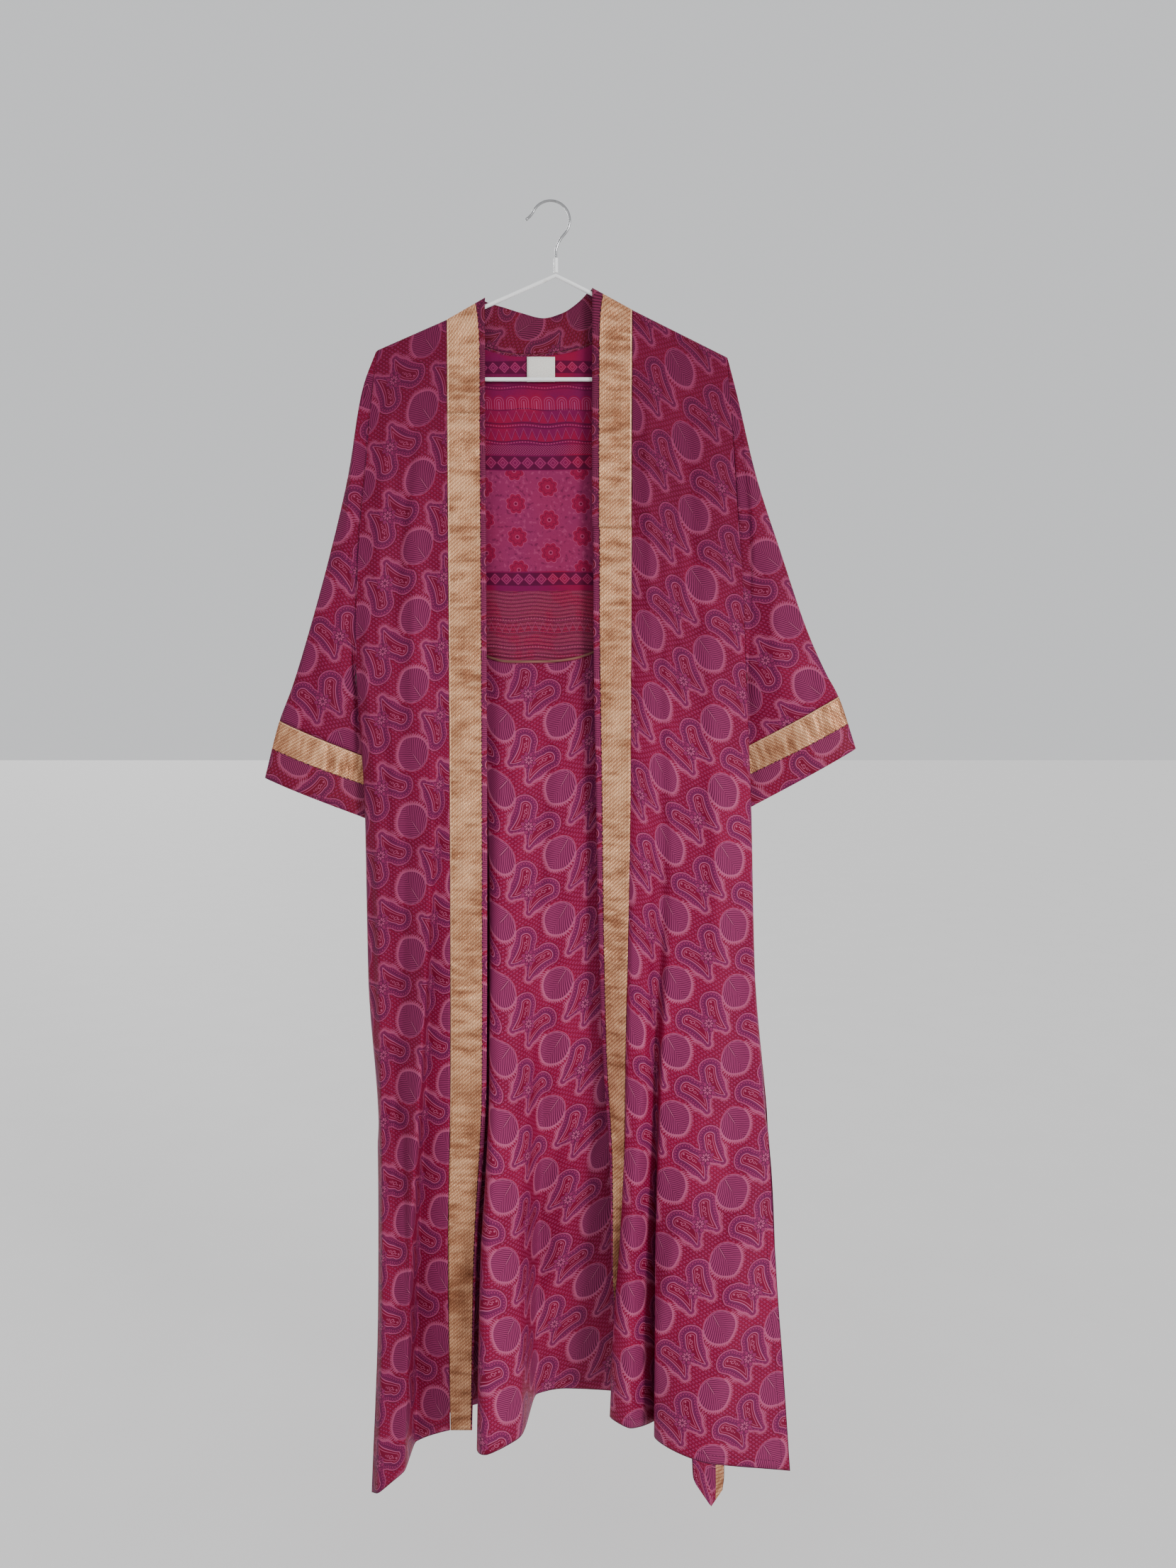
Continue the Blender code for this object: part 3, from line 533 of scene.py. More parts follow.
class Field:
    """A value in a shader tree, with the arithmetic that adds its nodes. a | b is the larger one."""

    def __init__(self, socket):
        self.socket = socket
        self.tree = socket.id_data

    def __add__(self, other):
        return calc("ADD", self, other)

    def __sub__(self, other):
        return calc("SUBTRACT", self, other)

    def __rsub__(self, other):
        return calc("SUBTRACT", other, self)

    def __mul__(self, other):
        return calc("MULTIPLY", self, other)

    def __truediv__(self, other):
        return calc("DIVIDE", self, other)

    def __or__(self, other):
        return calc("MAXIMUM", self, other)

    __radd__ = __add__
    __rmul__ = __mul__
    __ror__ = __or__


def set_inputs(node, values):
    """Links a field or a socket to each named input, or sets a plain value on it."""
    for name, value in values.items():
        if isinstance(value, Field):
            value = value.socket
        if isinstance(value, bpy.types.NodeSocket):
            node.id_data.links.new(value, node.inputs[name])
        else:
            node.inputs[name].default_value = value


def add(tree, kind, values):
    node = tree.nodes.new("ShaderNode" + kind)
    set_inputs(node, values)
    return node


def calc(operation, *inputs):
    tree = next(value.tree for value in inputs if isinstance(value, Field))
    node = tree.nodes.new("ShaderNodeMath")
    node.operation = operation
    set_inputs(node, dict(enumerate(inputs)))
    return Field(node.outputs[0])


def absolute(a):
    return calc("ABSOLUTE", a)


def sine(a):
    return calc("SINE", a)


def least(a, b):
    return calc("MINIMUM", a, b)


def length(a, b):
    return calc("SQRT", a * a + b * b)


def fraction(a):
    return calc("FRACT", a)


def wave(a):
    """1 where a is whole, 0 halfway between, and straight between them."""
    return absolute(fraction(a) - 0.5) * 2


def repeated(a, pitch, shift=0.0):
    """Place from the middle of the cell that holds a. Cells are a pitch long."""
    return (fraction(a / pitch + shift) - 0.5) * pitch


def clamped(a):
    a = a + 0.0
    a.socket.node.use_clamp = True
    return a


def ramp(low, high, a):
    """0 below low and 1 above high, smooth between."""
    node = a.tree.nodes.new("ShaderNodeMapRange")
    node.interpolation_type = "SMOOTHSTEP"
    set_inputs(node, {"Value": a, "From Min": low, "From Max": high})
    return Field(node.outputs["Result"])


def within(half, a, soft=0.12):
    """1 where a lies within half of zero."""
    return 1 - ramp(half - soft, half + soft, absolute(a))


def below(level, a, soft=0.15):
    return 1 - ramp(level - soft, level + soft, a)


def pick(a, b, share):
    """a where share is 0, b where it is 1."""
    return a + (b - a) * share


# Places of the colour sockets on a mix node
MIX_SHARE, MIX_FIRST, MIX_SECOND, MIX_COLOUR = 0, 6, 7, 2


def blend(first, second, share, mode="MIX"):
    """A colour between two, each a socket or a linear RGB value."""
    node = share.tree.nodes.new("ShaderNodeMix")
    node.data_type = "RGBA"
    node.blend_type = mode
    first, second = ((*c, 1.0) if isinstance(c, tuple) else c for c in (first, second))
    set_inputs(node, {MIX_SHARE: share, MIX_FIRST: first, MIX_SECOND: second})
    return node.outputs[MIX_COLOUR]


def layered(colour, *coats):
    """Lays each coat, a colour and its share, over the ones before it."""
    for coat, share in coats:
        colour = blend(colour, coat, share)
    return colour


def noise(vector, scale, detail=2.0):
    """Noise from 0 to 1. Its scale is per metre."""
    values = {"Vector": vector, "Scale": scale, "Detail": detail}
    return Field(add(vector.id_data, "TexNoise", values).outputs["Fac"])


# The print's functions work in millimetres of cloth, and their masks run from 0 to 1.
# Print: its lattice, and each motif's place from the flower
PITCH_X, PITCH_Y, PITCH_SHIFT = 75.0, 80.0, 9.0
GROUP_AT, LEAF_AT = (-5.0, 4.0), (-39.7, -34.5)
# A paisley: head, tip, head radius and how far it bends
UPPER = ((3.4, 23.6), (21.8, -7.2), 6.5, 4.7)
LOWER = ((-24.9, 1.9), (-0.4, -24.4), 6.7, -5.2)
RIM, TOOTH, FLAME_PITCH, FLAME_REACH = 8.2, 3.3, 3.6, 8.5
EIGHTH = math.pi / 4
LEAF_LEAN, LEAF_HALF = 33.0, 20.0
LEAFLET_X, LEAFLET_Y = 4.4, 5.2


def wrapped(x, y, at):
    """Place from the nearest copy of a motif in the print's lattice."""
    x = x - at[0]
    step = calc("ROUND", x / PITCH_X)
    y = y - at[1] + step * PITCH_SHIFT
    return x - step * PITCH_X, y - calc("ROUND", y / PITCH_Y) * PITCH_Y


def turned_to(x, y, start, end):
    """Place along and across a line from start to end, and its length."""
    long = math.hypot(end[0] - start[0], end[1] - start[1])
    ax, ay = (end[0] - start[0]) / long, (end[1] - start[1]) / long
    x, y = x - start[0], y - start[1]
    return x * ax + y * ay, x * ay - y * ax, long


def paisley(x, y, head, tip, radius, bend):
    """Distance from a bent drop's outline, the run along it, its inner place and share of length."""
    along, across, long = turned_to(x, y, head, tip)
    share = clamped(along / long)
    across = across - share * (1 - share) * (4 * bend)
    past = along - share * long
    size = radius * (1 - calc("POWER", share, 2.6)) + 0.3
    wide = absolute(across)
    distance = length(wide, past) - size
    run = calc("ARCTAN2", wide, past * -1) * (radius + RIM * 0.5) + share * long
    return distance, run, across * (1 if bend > 0 else -1), along, share


def paisley_parts(x, y):
    """The nearer of the two paisleys, with its rim of tongues and its flames."""
    upper, lower = paisley(x, y, *UPPER), paisley(x, y, *LOWER)
    first = ramp(-0.2, 0.2, lower[0] - upper[0])
    d, run, across, along, share = (pick(b, a, first) for a, b in zip(upper, lower))
    d = d * (1 + 0.9 * ramp(0.6, 1.0, share) * ramp(0.5, 2.0, d))

    tongue_x = repeated(run, TOOTH)
    tongue = length(tongue_x * 1.9, d - 4.4)
    rim = ramp(2.1, 2.4, d) * below(RIM, d)
    reach = ramp(0.3, 0.75, share) * FLAME_REACH * (1 - wave((run + d * 0.8) / FLAME_PITCH))
    flame = ramp(RIM - 0.2, RIM + 0.2, d) * below(0.0, d - RIM - reach, 0.35)

    heart = below(0.0, length(across * 1.2, along + 2.2) - 1.3)
    heart |= below(0.0, length(across - 1.4, along - 1.4) - 0.9)
    heart |= within(0.45, length(across - 0.6, along - 5.2) - 1.9)
    heart |= within(0.4, length(across * 1.4, along - 10.4) - 1.5)
    heart |= below(0.0, length(across, along - 14.2) - 0.8)
    pink = within(0.55, d) | within(0.35, d + 2.6) * ramp(-5.0, -4.0, along)
    pink |= below(-2.6, d) * heart | flame | within(0.3, d - RIM + 0.3)
    soft = rim * (ramp(5.6, 6.6, d) | below(1.3, tongue))
    dark = within(0.34, tongue - 2.05) | below(3.0, d, 0.4) * ramp(0.9, 1.2, absolute(tongue_x))
    dark = rim * dark | within(0.28, d - 1.0) | within(0.3, d - RIM - 0.5)
    return d, pink, soft, dark, below(RIM, d), below(-0.6, d)


def flower_parts(x, y):
    """Eight light strokes round an eye, in a ring of eight rounded petals."""
    radius, angle = length(x, y), calc("ARCTAN2", x, y)
    side = absolute(repeated(angle, EIGHTH, 0.5) * radius)
    stroke = length(side * 2.6, radius - 3.6) - 2.0
    petal = length(repeated(angle, EIGHTH) * radius * 1.15, radius - 7.6) - 2.6
    disc = below(6.6, radius)
    pink = below(0.0, stroke) * ramp(1.2, 1.6, radius)
    dark = within(0.35, stroke - 0.5) * disc | within(0.3, petal) | within(0.4, radius - 1.0)
    return disc | below(0.2, petal), pink, dark


def leaf_parts(x, y):
    """A broad leaf with long veins and a fringe on its free sides."""
    lean = math.radians(LEAF_LEAN)
    end_x, end_y = LEAF_HALF * math.sin(lean), -LEAF_HALF * math.cos(lean)
    p, q, _ = turned_to(x, y, (-end_x, -end_y), (end_x, end_y))
    q = q * -1
    body = length(x * 1.07, y) - 20.5
    tip = length(q, p - 33) - 8.0
    d = calc("SMOOTH_MIN", body, tip, 6.0)
    wide = absolute(q)
    left_vein = (p - wide * 1.7 + wide * wide * 0.028) / 3.9
    right_vein = (p - wide * 0.95 + wide * wide * 0.012 + sine(wide * 0.22) * 1.2) / 2.8
    veins = pick(left_vein, right_vein, ramp(-0.3, 0.3, q))
    vein = wave(veins)
    inside = below(0.0, d)
    rib = ramp(2.0, 4.0, p) * below(19.0, p, 4.0)
    dark = inside * (ramp(0.62, 0.8, vein) | within(0.35, wide - 0.9) * rib)
    pink = inside * (below(0.16, vein, 0.12) * 0.6 | within(0.5, wide) * rib)
    free = ramp(8.0, 14.0, p)
    reach = free * 4.4 * (1 - wave(veins + 0.5 + d * 0.1))
    fringe = ramp(-1.2, -0.8, d) * below(0.0, d - 0.4 - reach, 0.3) * free
    contour = (1 - free) * (within(0.3, d + 1.6) | within(0.3, d))
    return d, inside, pink | fringe | contour, dark


def print_masks(x, y):
    """Shares of bright pink, soft pink, purple fill, dark line and dark ground in the print."""
    gx, gy = wrapped(x, y, GROUP_AT)
    gx, gy = gx + GROUP_AT[0], gy + GROUP_AT[1]
    d, pink, soft, dark, fill, heart = paisley_parts(gx, gy)
    flower, flower_pink, flower_dark = flower_parts(gx, gy)
    leaf_d, leaf, leaf_pink, leaf_dark = leaf_parts(*wrapped(x, y, LEAF_AT))

    clear = 1 - fill
    row = (y - x * 0.5) / LEAFLET_Y
    leaflet_x = repeated(x + y * 0.5, LEAFLET_X, calc("FLOOR", row) * 0.5)
    leaflet_y = (fraction(row) - 0.5) * LEAFLET_Y
    leaflet = length(leaflet_x * 1.6 + leaflet_y * 0.6, leaflet_y) - 1.9
    ground = ramp(0.6, 1.4, least(d - RIM, leaf_d)) * clear
    spray = ground * below(0.0, leaflet, 0.35)
    hatch = ground * within(0.4, leaflet - 0.6, 0.25)

    pink = pick(pink | leaf_pink * clear, flower_pink, flower)
    dark = pick(dark | leaf_dark * clear, flower_dark, flower)
    soft = pick(soft, flower * 0.55, flower) | spray * 0.75 | leaf * clear * 0.5
    purple = fill * (1 - heart) | leaf * clear | flower
    return pink, soft, purple, dark, hatch * 0.9 | heart * fill * 0.55


# Linear colours of the print. The last is a tint of painted shade that darkens the print up high and on
# the wearer's right.
CRIMSON, CRIMSON_BRIGHT = (0.19, 0.001, 0.024), (0.27, 0.003, 0.036)
CRIMSON_DARK, PURPLE, ROSE = (0.06, 0.0, 0.012), (0.17, 0.012, 0.075), (0.26, 0.026, 0.095)
PINK, DARK, PAINTED_SHADE_TINT = (0.44, 0.1, 0.2), (0.035, 0.0, 0.014), (0.54, 0.36, 0.47)
PER_METRE = 1000


def parts_of(vector):
    return [Field(part) for part in add(vector.id_data, "SeparateXYZ", {0: vector}).outputs]


def map_place(tree, name):
    """Places on a UV map in millimetres, and as a vector in metres."""
    node = tree.nodes.new("ShaderNodeUVMap")
    node.uv_map = name
    x, y, _ = parts_of(node.outputs[0])
    return x * PER_METRE, y * PER_METRE, node.outputs[0]


def hem_place(x):
    """Distances to the side hem and to the lower one, in millimetres."""
    return map_place(x.tree, "Hem")[:2]


def object_place(tree):
    """Places in the part's frame, in metres."""
    return tree.nodes.new("ShaderNodeTexCoord").outputs["Object"]


def print_colour(x, y, place):
    """The print's colour and its height for bump. A tint of painted shade darkens it up high and on the
    wearer's right.
    """
    wander = (noise(place, 45.0) - 0.5) * 1.6
    pink, soft, purple, dark, ground = print_masks(x + wander, y - wander)
    patch = noise(place, 7.0, 3.0)
    colour = layered(
        CRIMSON, (CRIMSON_BRIGHT, ramp(0.35, 0.7, patch)), (CRIMSON_DARK, ground * 0.8),
        (PURPLE, purple), (ROSE, soft), (DARK, dark * 0.85), (PINK, pink * (0.4 + patch * 0.6)),
    )
    # Painted shade: the print is darkened towards the shoulders and on the wearer's right, by place in
    # the part's frame.
    across, _, up = parts_of(object_place(x.tree))
    deep = ramp(-0.8, -0.1, up) | ramp(0.06, 0.2, across * -1) * 0.55
    return blend(colour, PAINTED_SHADE_TINT, deep, "MULTIPLY"), pink - dark


def material(name):
    made = bpy.data.materials.new(name)
    made.use_nodes = True
    return made, made.node_tree.nodes["Principled BSDF"]


def cloth_material(name):
    """A material, its shader, the cloth's coordinates in millimetres and as a vector in metres."""
    made, shader = material(name)
    return made, shader, *map_place(made.node_tree, "Cloth")


def add_bump(shader, height, strength, distance):
    values = {"Strength": strength, "Distance": distance, "Height": height}
    set_inputs(shader, {"Normal": add(shader.id_data, "Bump", values).outputs["Normal"]})


def weave_height(x, y, pitch):
    """Height of a plain weave of the given thread pitch in millimetres."""
    turn = 2 * math.pi / pitch
    return sine(x * turn) * sine(y * turn)


SILK_WEAVE, SILK_SHEEN = 0.9, (1.0, 0.35, 0.62, 1.0)
# Distance of the hem's stitching from the edge
HEM_FOLD = 10.5


def silk_finish(shader, x, y, place, colour, relief, rough):
    """Crumple, weave and sheen that all the printed silk shares."""
    crumple, slub = noise(place, 28.0, 3.0), noise(place, 160.0)
    height = crumple * 0.9 + slub * 0.12 + weave_height(x, y, SILK_WEAVE) * 0.05 + relief * 0.05
    add_bump(shader, height, 0.55, 0.0022)
    set_inputs(shader, {
        "Base Color": colour, "Roughness": slub * 0.16 + rough,
        "Specular IOR Level": 0.25, "Specular Tint": SILK_SHEEN,
    })


def make_print_silk():
    made, shader, x, y, place = cloth_material("Printed silk")
    colour, relief = print_colour(x, y, place)
    edge = least(*hem_place(x))
    fold_line = within(0.5, edge - HEM_FOLD)
    stitch = fold_line * ramp(0.1, 0.3, sine(x * 1.9 + y * 1.9))
    colour = blend(colour, DARK, stitch * 0.7 | below(1.0, edge, 0.5) * 0.8)
    silk_finish(shader, x, y, place, colour, relief - fold_line * 3, 0.42)
    return made


# Gold border: how wide it is, and the rows of its woven dashes
GOLD_WIDTH, CUFF_GOLD, GOLD_PITCH, DASH_LONG = 38.5, 35.0, 1.9, 4.6
# GOLD_LIGHT is the threads' own colour, shown more in patches of painted light, and also a painted
# highlight on the crinkles. GOLD_DARK is painted shade on the gaps between threads, in patches.
GOLD, GOLD_LIGHT, GOLD_DARK = (0.46, 0.19, 0.09), (1.0, 0.60, 0.34), (0.15, 0.05, 0.03)
# The first colour here is a tint of painted shade for the gold, in broad patches and in the hollows of
# its crinkles.
PAINTED_GOLD_SHADE, GOLD_METAL, BAND_SHEEN = (0.5, 0.4, 0.38), 0.6, (1.0, 0.6, 0.6, 1.0)
# On the inner side of the bands the border lies beside the cloth, so no gold shows there. The
# belt's gold piece has a start and a length of its own
INSIDE_START, BELT_GOLD_FROM, BELT_GOLD_LONG = -9.0, 30.5, 64.0


def gold_colour(x, y, place):
    """Colour and height of the woven gold: short slanted dashes in rows that run along y. Over it lie
    painted light and shade in patches, painted highlights on its crinkles' ridges and painted shade in
    their hollows.
    """
    row = (x + (noise(place, 60.0) - 0.5) * 1.8) / GOLD_PITCH
    across = fraction(row) - 0.5
    shift = fraction(calc("FLOOR", row) * 0.37) * DASH_LONG
    cut = wave((y + shift + across * 2.2) / DASH_LONG)
    thread = below(0.62, absolute(across) * 2, 0.25) * below(0.7, cut, 0.16)
    # Patches of painted light and shade: threads lighter where this noise is high, gaps darker where it
    # is low.
    light_and_shade_patches = noise(place, 20.0, 4.0)
    stretched = {"Vector": place, "Scale": (0.3, 1.0, 1.0), "Rotation": (0.0, 0.0, 0.12)}
    crinkle = noise(add(x.tree, "Mapping", stretched).outputs[0], 110.0, 3.0)
    # Light threads on a darker ground, with painted light and shade in patches and a painted highlight
    # on the ridges of the crinkles.
    colour = layered(
        GOLD, (GOLD_LIGHT, thread * ramp(0.25, 0.7, light_and_shade_patches)),
        (GOLD_DARK, (1 - thread) * ramp(0.35, 0.7, 1 - light_and_shade_patches) * 0.6),
        (GOLD_LIGHT, ramp(0.45, 0.68, crinkle) * (thread * 0.6 + 0.2)),
    )
    # Painted shade: the gold is darkened in broad patches and in the hollows of its crinkles.
    gold_shade_share = ramp(0.5, 0.68, noise(place, 7.0, 3.0)) * 0.5 | ramp(0.52, 0.26, crinkle) * 0.8
    return blend(colour, PAINTED_GOLD_SHADE, gold_shade_share, "MULTIPLY"), thread + crinkle * 6


def make_band_silk(name, width, start):
    """Printed silk with the gold border from start to start + width across it."""
    made, shader, x, y, place = cloth_material(name)
    colour, relief = print_colour(x, y, place)
    gold, thread = gold_colour(x, y, place)
    edge = x - start - width + (noise(place, 260.0, 1.0) - 0.5) * 2.6
    in_gold = below(0.0, edge, 0.3) * ramp(-0.2, 0.2, x - start)
    colour = layered(colour, (gold, in_gold), (GOLD_LIGHT, within(0.6, x - start - 1.2) * 0.8))
    if width:
        tick = within(0.8, edge - 0.4, 0.4) * ramp(0.3, 0.6, sine(y * 1.25))
        colour = blend(colour, DARK, tick * 0.9)
    crumple = noise(place, 34.0, 3.0)
    height = crumple * 0.9 + thread * in_gold * 0.22 + in_gold * 0.35 + relief * 0.04
    add_bump(shader, height, 0.75, 0.003)
    set_inputs(shader, {
        "Base Color": colour, "Roughness": 0.52 - in_gold * 0.18 + crumple * 0.1,
        "Metallic": in_gold * GOLD_METAL, "Specular IOR Level": 0.22, "Specular Tint": BAND_SHEEN,
    })
    return made


def make_belt_silk():
    """Printed silk with a short piece of the gold border along one edge of the hanging end."""
    made, shader, x, y, place = cloth_material("Belt silk")
    colour, relief = print_colour(x, y, place)
    gold, thread = gold_colour(x, y, place)
    in_gold = ramp(BELT_GOLD_FROM, BELT_GOLD_FROM + 0.5, x) * below(BELT_GOLD_LONG, y, 0.5)
    edge = least(x, BELT_WIDTH - x)
    colour = layered(colour, (gold, in_gold), (DARK, below(1.0, edge, 0.5) * 0.7))
    set_inputs(shader, {"Metallic": in_gold * GOLD_METAL})
    silk_finish(shader, x, y, place, colour, relief + thread * in_gold * 3, 0.4)
    return made


def banded(y, low, high):
    """1 in a row of the border print, between two distances from the neck."""
    return ramp(low - 0.25, low + 0.25, y) * below(high, y, 0.25)


def diamond_row(x, y, low, high):
    """A row of small diamonds with crosses between: its light and dark parts."""
    half = (high - low) / 2
    away = wave(x / (high - low)) * half + absolute(y - low - half)
    row = banded(y, low, high)
    light = within(0.45, away - half * 0.82) | within(0.4, away - half * 0.4)
    dark = within(0.5, y - low) | within(0.5, y - high)
    return row * light, row * ramp(half * 0.98, half * 1.1, away) | dark


# Rows of the border print: millimetres down from the back neck
DIAMOND_ROWS = ((4.5, 18.0), (114.5, 129.5), (252.0, 266.0))
ZIGZAG_ROWS = ((62.5, 74.0, 10.5), (83.0, 95.0, 10.0), (311.0, 321.0, 9.0))
DOT_ROWS = (34.5, 79.0, 98.5, 307.0, 340.0, 350.0)
ARCH_ROW, HERRINGBONE_ROW = (38.0, 60.5), (101.5, 112.5)
FLOWER_ROW, CORD_ROW = (131.0, 250.0), (273.0, 400.0)
DOT_PITCH, ARCH_PITCH, ARCH_HIGH, ARCH_RING, FLOWER_PITCH = 3.4, 15.0, 9.0, 2.6, 39.0
MAUVE, MADDER, BLUSH = (0.13, 0.002, 0.045), (0.21, 0.002, 0.028), (0.21, 0.018, 0.075)
SHELL, CORD, INK = (0.33, 0.05, 0.13), (0.17, 0.018, 0.045), (0.045, 0.0, 0.018)
OLIVE = (0.26, 0.13, 0.09)


def make_lining_silk():
    """Rows of diamonds, arches and zigzags, a ground of scattered round flowers, and cords below."""
    made, shader, x, y, place = cloth_material("Border print silk")
    y = y + (noise(place, 14.0, 1.0) - 0.5) * 4
    ripple = y + sine(x * 0.12) * 1.1

    red = light = dark = 0.0
    for low, high in DIAMOND_ROWS:
        pale, deep = diamond_row(x, y, low, high)
        light |= pale
        dark |= deep
    for low, high, pitch in ZIGZAG_ROWS:
        line = ripple - low - wave(x / pitch) * (high - low)
        row = banded(ripple, low - 1, high + 1)
        light |= row * within(0.5, line)
        dark |= row * within(0.35, line - 1.7)
        dark |= within(0.45, ripple - low + 2) | within(0.45, ripple - high - 2)
        red |= row * ramp(1.8, 2.4, line)
    for level in DOT_ROWS:
        light |= within(0.75, length(repeated(x, DOT_PITCH), ripple - level))
        dark |= within(0.35, absolute(ripple - level) - 2.0)
    low, high = ARCH_ROW
    arch = length(repeated(x, ARCH_PITCH), high - ARCH_HIGH - y | 0.0)
    rings = fraction(arch / ARCH_RING)
    row = banded(y, low, high) * below(7.6, arch)
    light |= row * below(0.3, rings, 0.1)
    red |= row * ramp(0.4, 0.6, rings)
    low, high = HERRINGBONE_ROW
    slant = fraction((x + absolute(y - (low + high) / 2) * 1.2) / 3.0)
    light |= banded(y, low, high) * below(0.3, slant, 0.12)
    dark |= banded(y, low, high) * ramp(0.6, 0.75, slant)

    field = banded(y, *FLOWER_ROW)
    odd = calc("FLOOR", x / FLOWER_PITCH + 0.2)
    flower_x = repeated(x, FLOWER_PITCH, 0.2)
    flower_y = repeated(y - FLOWER_ROW[0], FLOWER_PITCH, fraction(odd * 0.5))
    radius, angle = length(flower_x, flower_y), calc("ARCTAN2", flower_x, flower_y)
    petals = radius - absolute(sine(angle * 4)) * 2.6
    sprig, free = noise(place, 190.0), ramp(11.0, 11.5, petals) * 0.6
    red |= field * below(9.5, petals, 0.3)
    light |= field * (within(0.4, petals - 9.8) | within(0.5, radius - 2.2))
    dark |= field * (within(0.35, petals - 6.0) | below(1.2, radius))
    light |= field * ramp(0.58, 0.64, sprig) * free
    dark |= field * below(0.38, sprig, 0.03) * free

    cords = banded(y, *CORD_ROW)
    ridge, fleck = sine(ripple * 1.35), noise(place, 420.0, 1.0)
    slant = fraction((x + ripple * 1.2) / 2.6)
    light |= cords * ramp(0.3, 0.8, ridge) * below(0.45, slant) * 0.6
    dark |= cords * ramp(0.4, 0.9, ridge * -1) * 0.8
    red |= cords * ramp(0.5, 0.6, noise(place, 26.0)) * 0.8
    fine = below(0.4, wave(ripple / 2.1), 0.3)
    olive = cords * fine * ramp(0.35, 0.6, fleck) * 0.22
    olive |= within(1.3, hem_place(x)[1] - 2.2, 0.3)

    colour = layered(
        MAUVE, (MADDER, ramp(0.4, 0.65, noise(place, 14.0))), (BLUSH, field * 0.8),
        (CORD, cords * 0.75), (MADDER, red * 0.85), (INK, dark * 0.8),
        (SHELL, light * (0.5 + fleck * 0.4)), (OLIVE, olive * 0.8),
    )
    silk_finish(shader, x, y, place, colour, light - dark + cords * ridge * 3, 0.5)
    return made


LINEN, LINEN_DARK, LINEN_STITCH = (0.80, 0.77, 0.72), (0.66, 0.62, 0.57), (0.5, 0.42, 0.4)
LINEN_WEAVE = 0.7


def make_label_tape():
    made, shader, x, y, place = cloth_material("Label tape")
    speck = noise(place, 900.0)
    edge = absolute(x - LABEL_WIDTH / 2) - LABEL_WIDTH / 2
    edge |= absolute(y - LABEL_HEIGHT / 2) - LABEL_HEIGHT / 2
    stitch = within(0.3, edge + 1.8) * ramp(0.2, 0.5, sine((x + y) * 2.4))
    colour = layered(LINEN, (LINEN_DARK, ramp(0.4, 0.7, speck)), (LINEN_STITCH, stitch * 0.7))
    set_inputs(shader, {"Base Color": colour, "Roughness": speck * 0.2 + 0.7})
    add_bump(shader, weave_height(x, y, LINEN_WEAVE) * 0.4 + speck * 0.5 - stitch, 0.5, 0.0004)
    return made


def make_marked(name, light, dark, ends, rough, *grain):
    """A plain material with faint marks, its shader and the marks.

    ends are where the marks begin and end, rough the lowest roughness and what a mark adds.
    """
    made, shader = material(name)
    mark = noise(object_place(made.node_tree), *grain)
    low, span = rough
    colour = blend(light, dark, ramp(*ends, mark))
    set_inputs(shader, {"Base Color": colour, "Roughness": mark * span + low})
    return made, shader, mark


def make_coat():
    light, dark = (0.84, 0.84, 0.84), (0.74, 0.73, 0.71)
    name, ends, rough = "White coated wire", (0.55, 0.75), (0.22, 0.2)
    made, shader, mark = make_marked(name, light, dark, ends, rough, 90.0, 3.0)
    add_bump(shader, mark, 0.15, 0.0004)
    return made


def make_chrome():
    light, dark = (0.40, 0.40, 0.41), (0.28, 0.28, 0.28)
    made, shader, _ = make_marked("Chrome wire", light, dark, (0.5, 0.8), (0.1, 0.16), 300.0)
    set_inputs(shader, {"Metallic": 1.0})
    return made


def place(obj, slot, *nodes):
    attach(obj, "root")
    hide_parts(*nodes)


def ring(points):
    """A closed grid of points with its first column again at its end."""
    return np.concatenate((points, points[:, :1]), axis=1)


def declare(obj, points, across, down, held, *rests_on):
    """Rings a closed piece's points and takes the diagonals of its cells, but keeps nothing. across and
    down are its flat place; down is not used.
    """
    if across.shape[1] > points.shape[1]:
        points = ring(points)
    one, two = points[1:, 1:] - points[:-1, :-1], points[1:, :-1] - points[:-1, 1:]


def cloth_piece(node, slot, points, thickness, silk, flat, rests_on, uv=None, end="_cloth", **ways):
    """A cloth piece in a node's place. uv is the print's own flat place, where it differs.

    Where rests_on names pieces, it calls declare with them, which keeps nothing.
    """
    obj = sheet_object(node + end, points, thickness, silk, uv or flat, **ways)
    place(obj, slot, node)
    if rests_on:
        declare(obj, points, *flat, "hung", *rests_on)


def turned(across, down, degrees, flip=1, offset=(0.0, 0.0)):
    """The print's own coordinates on a panel: turned, and mirrored where flip is -1."""
    a = math.radians(degrees)
    u, v = across * flip, -down
    x, y = u * math.cos(a) - v * math.sin(a), u * math.sin(a) + v * math.cos(a)
    return x + offset[0], y + offset[1]


def no_hem(across):
    return np.full_like(across, FAR)


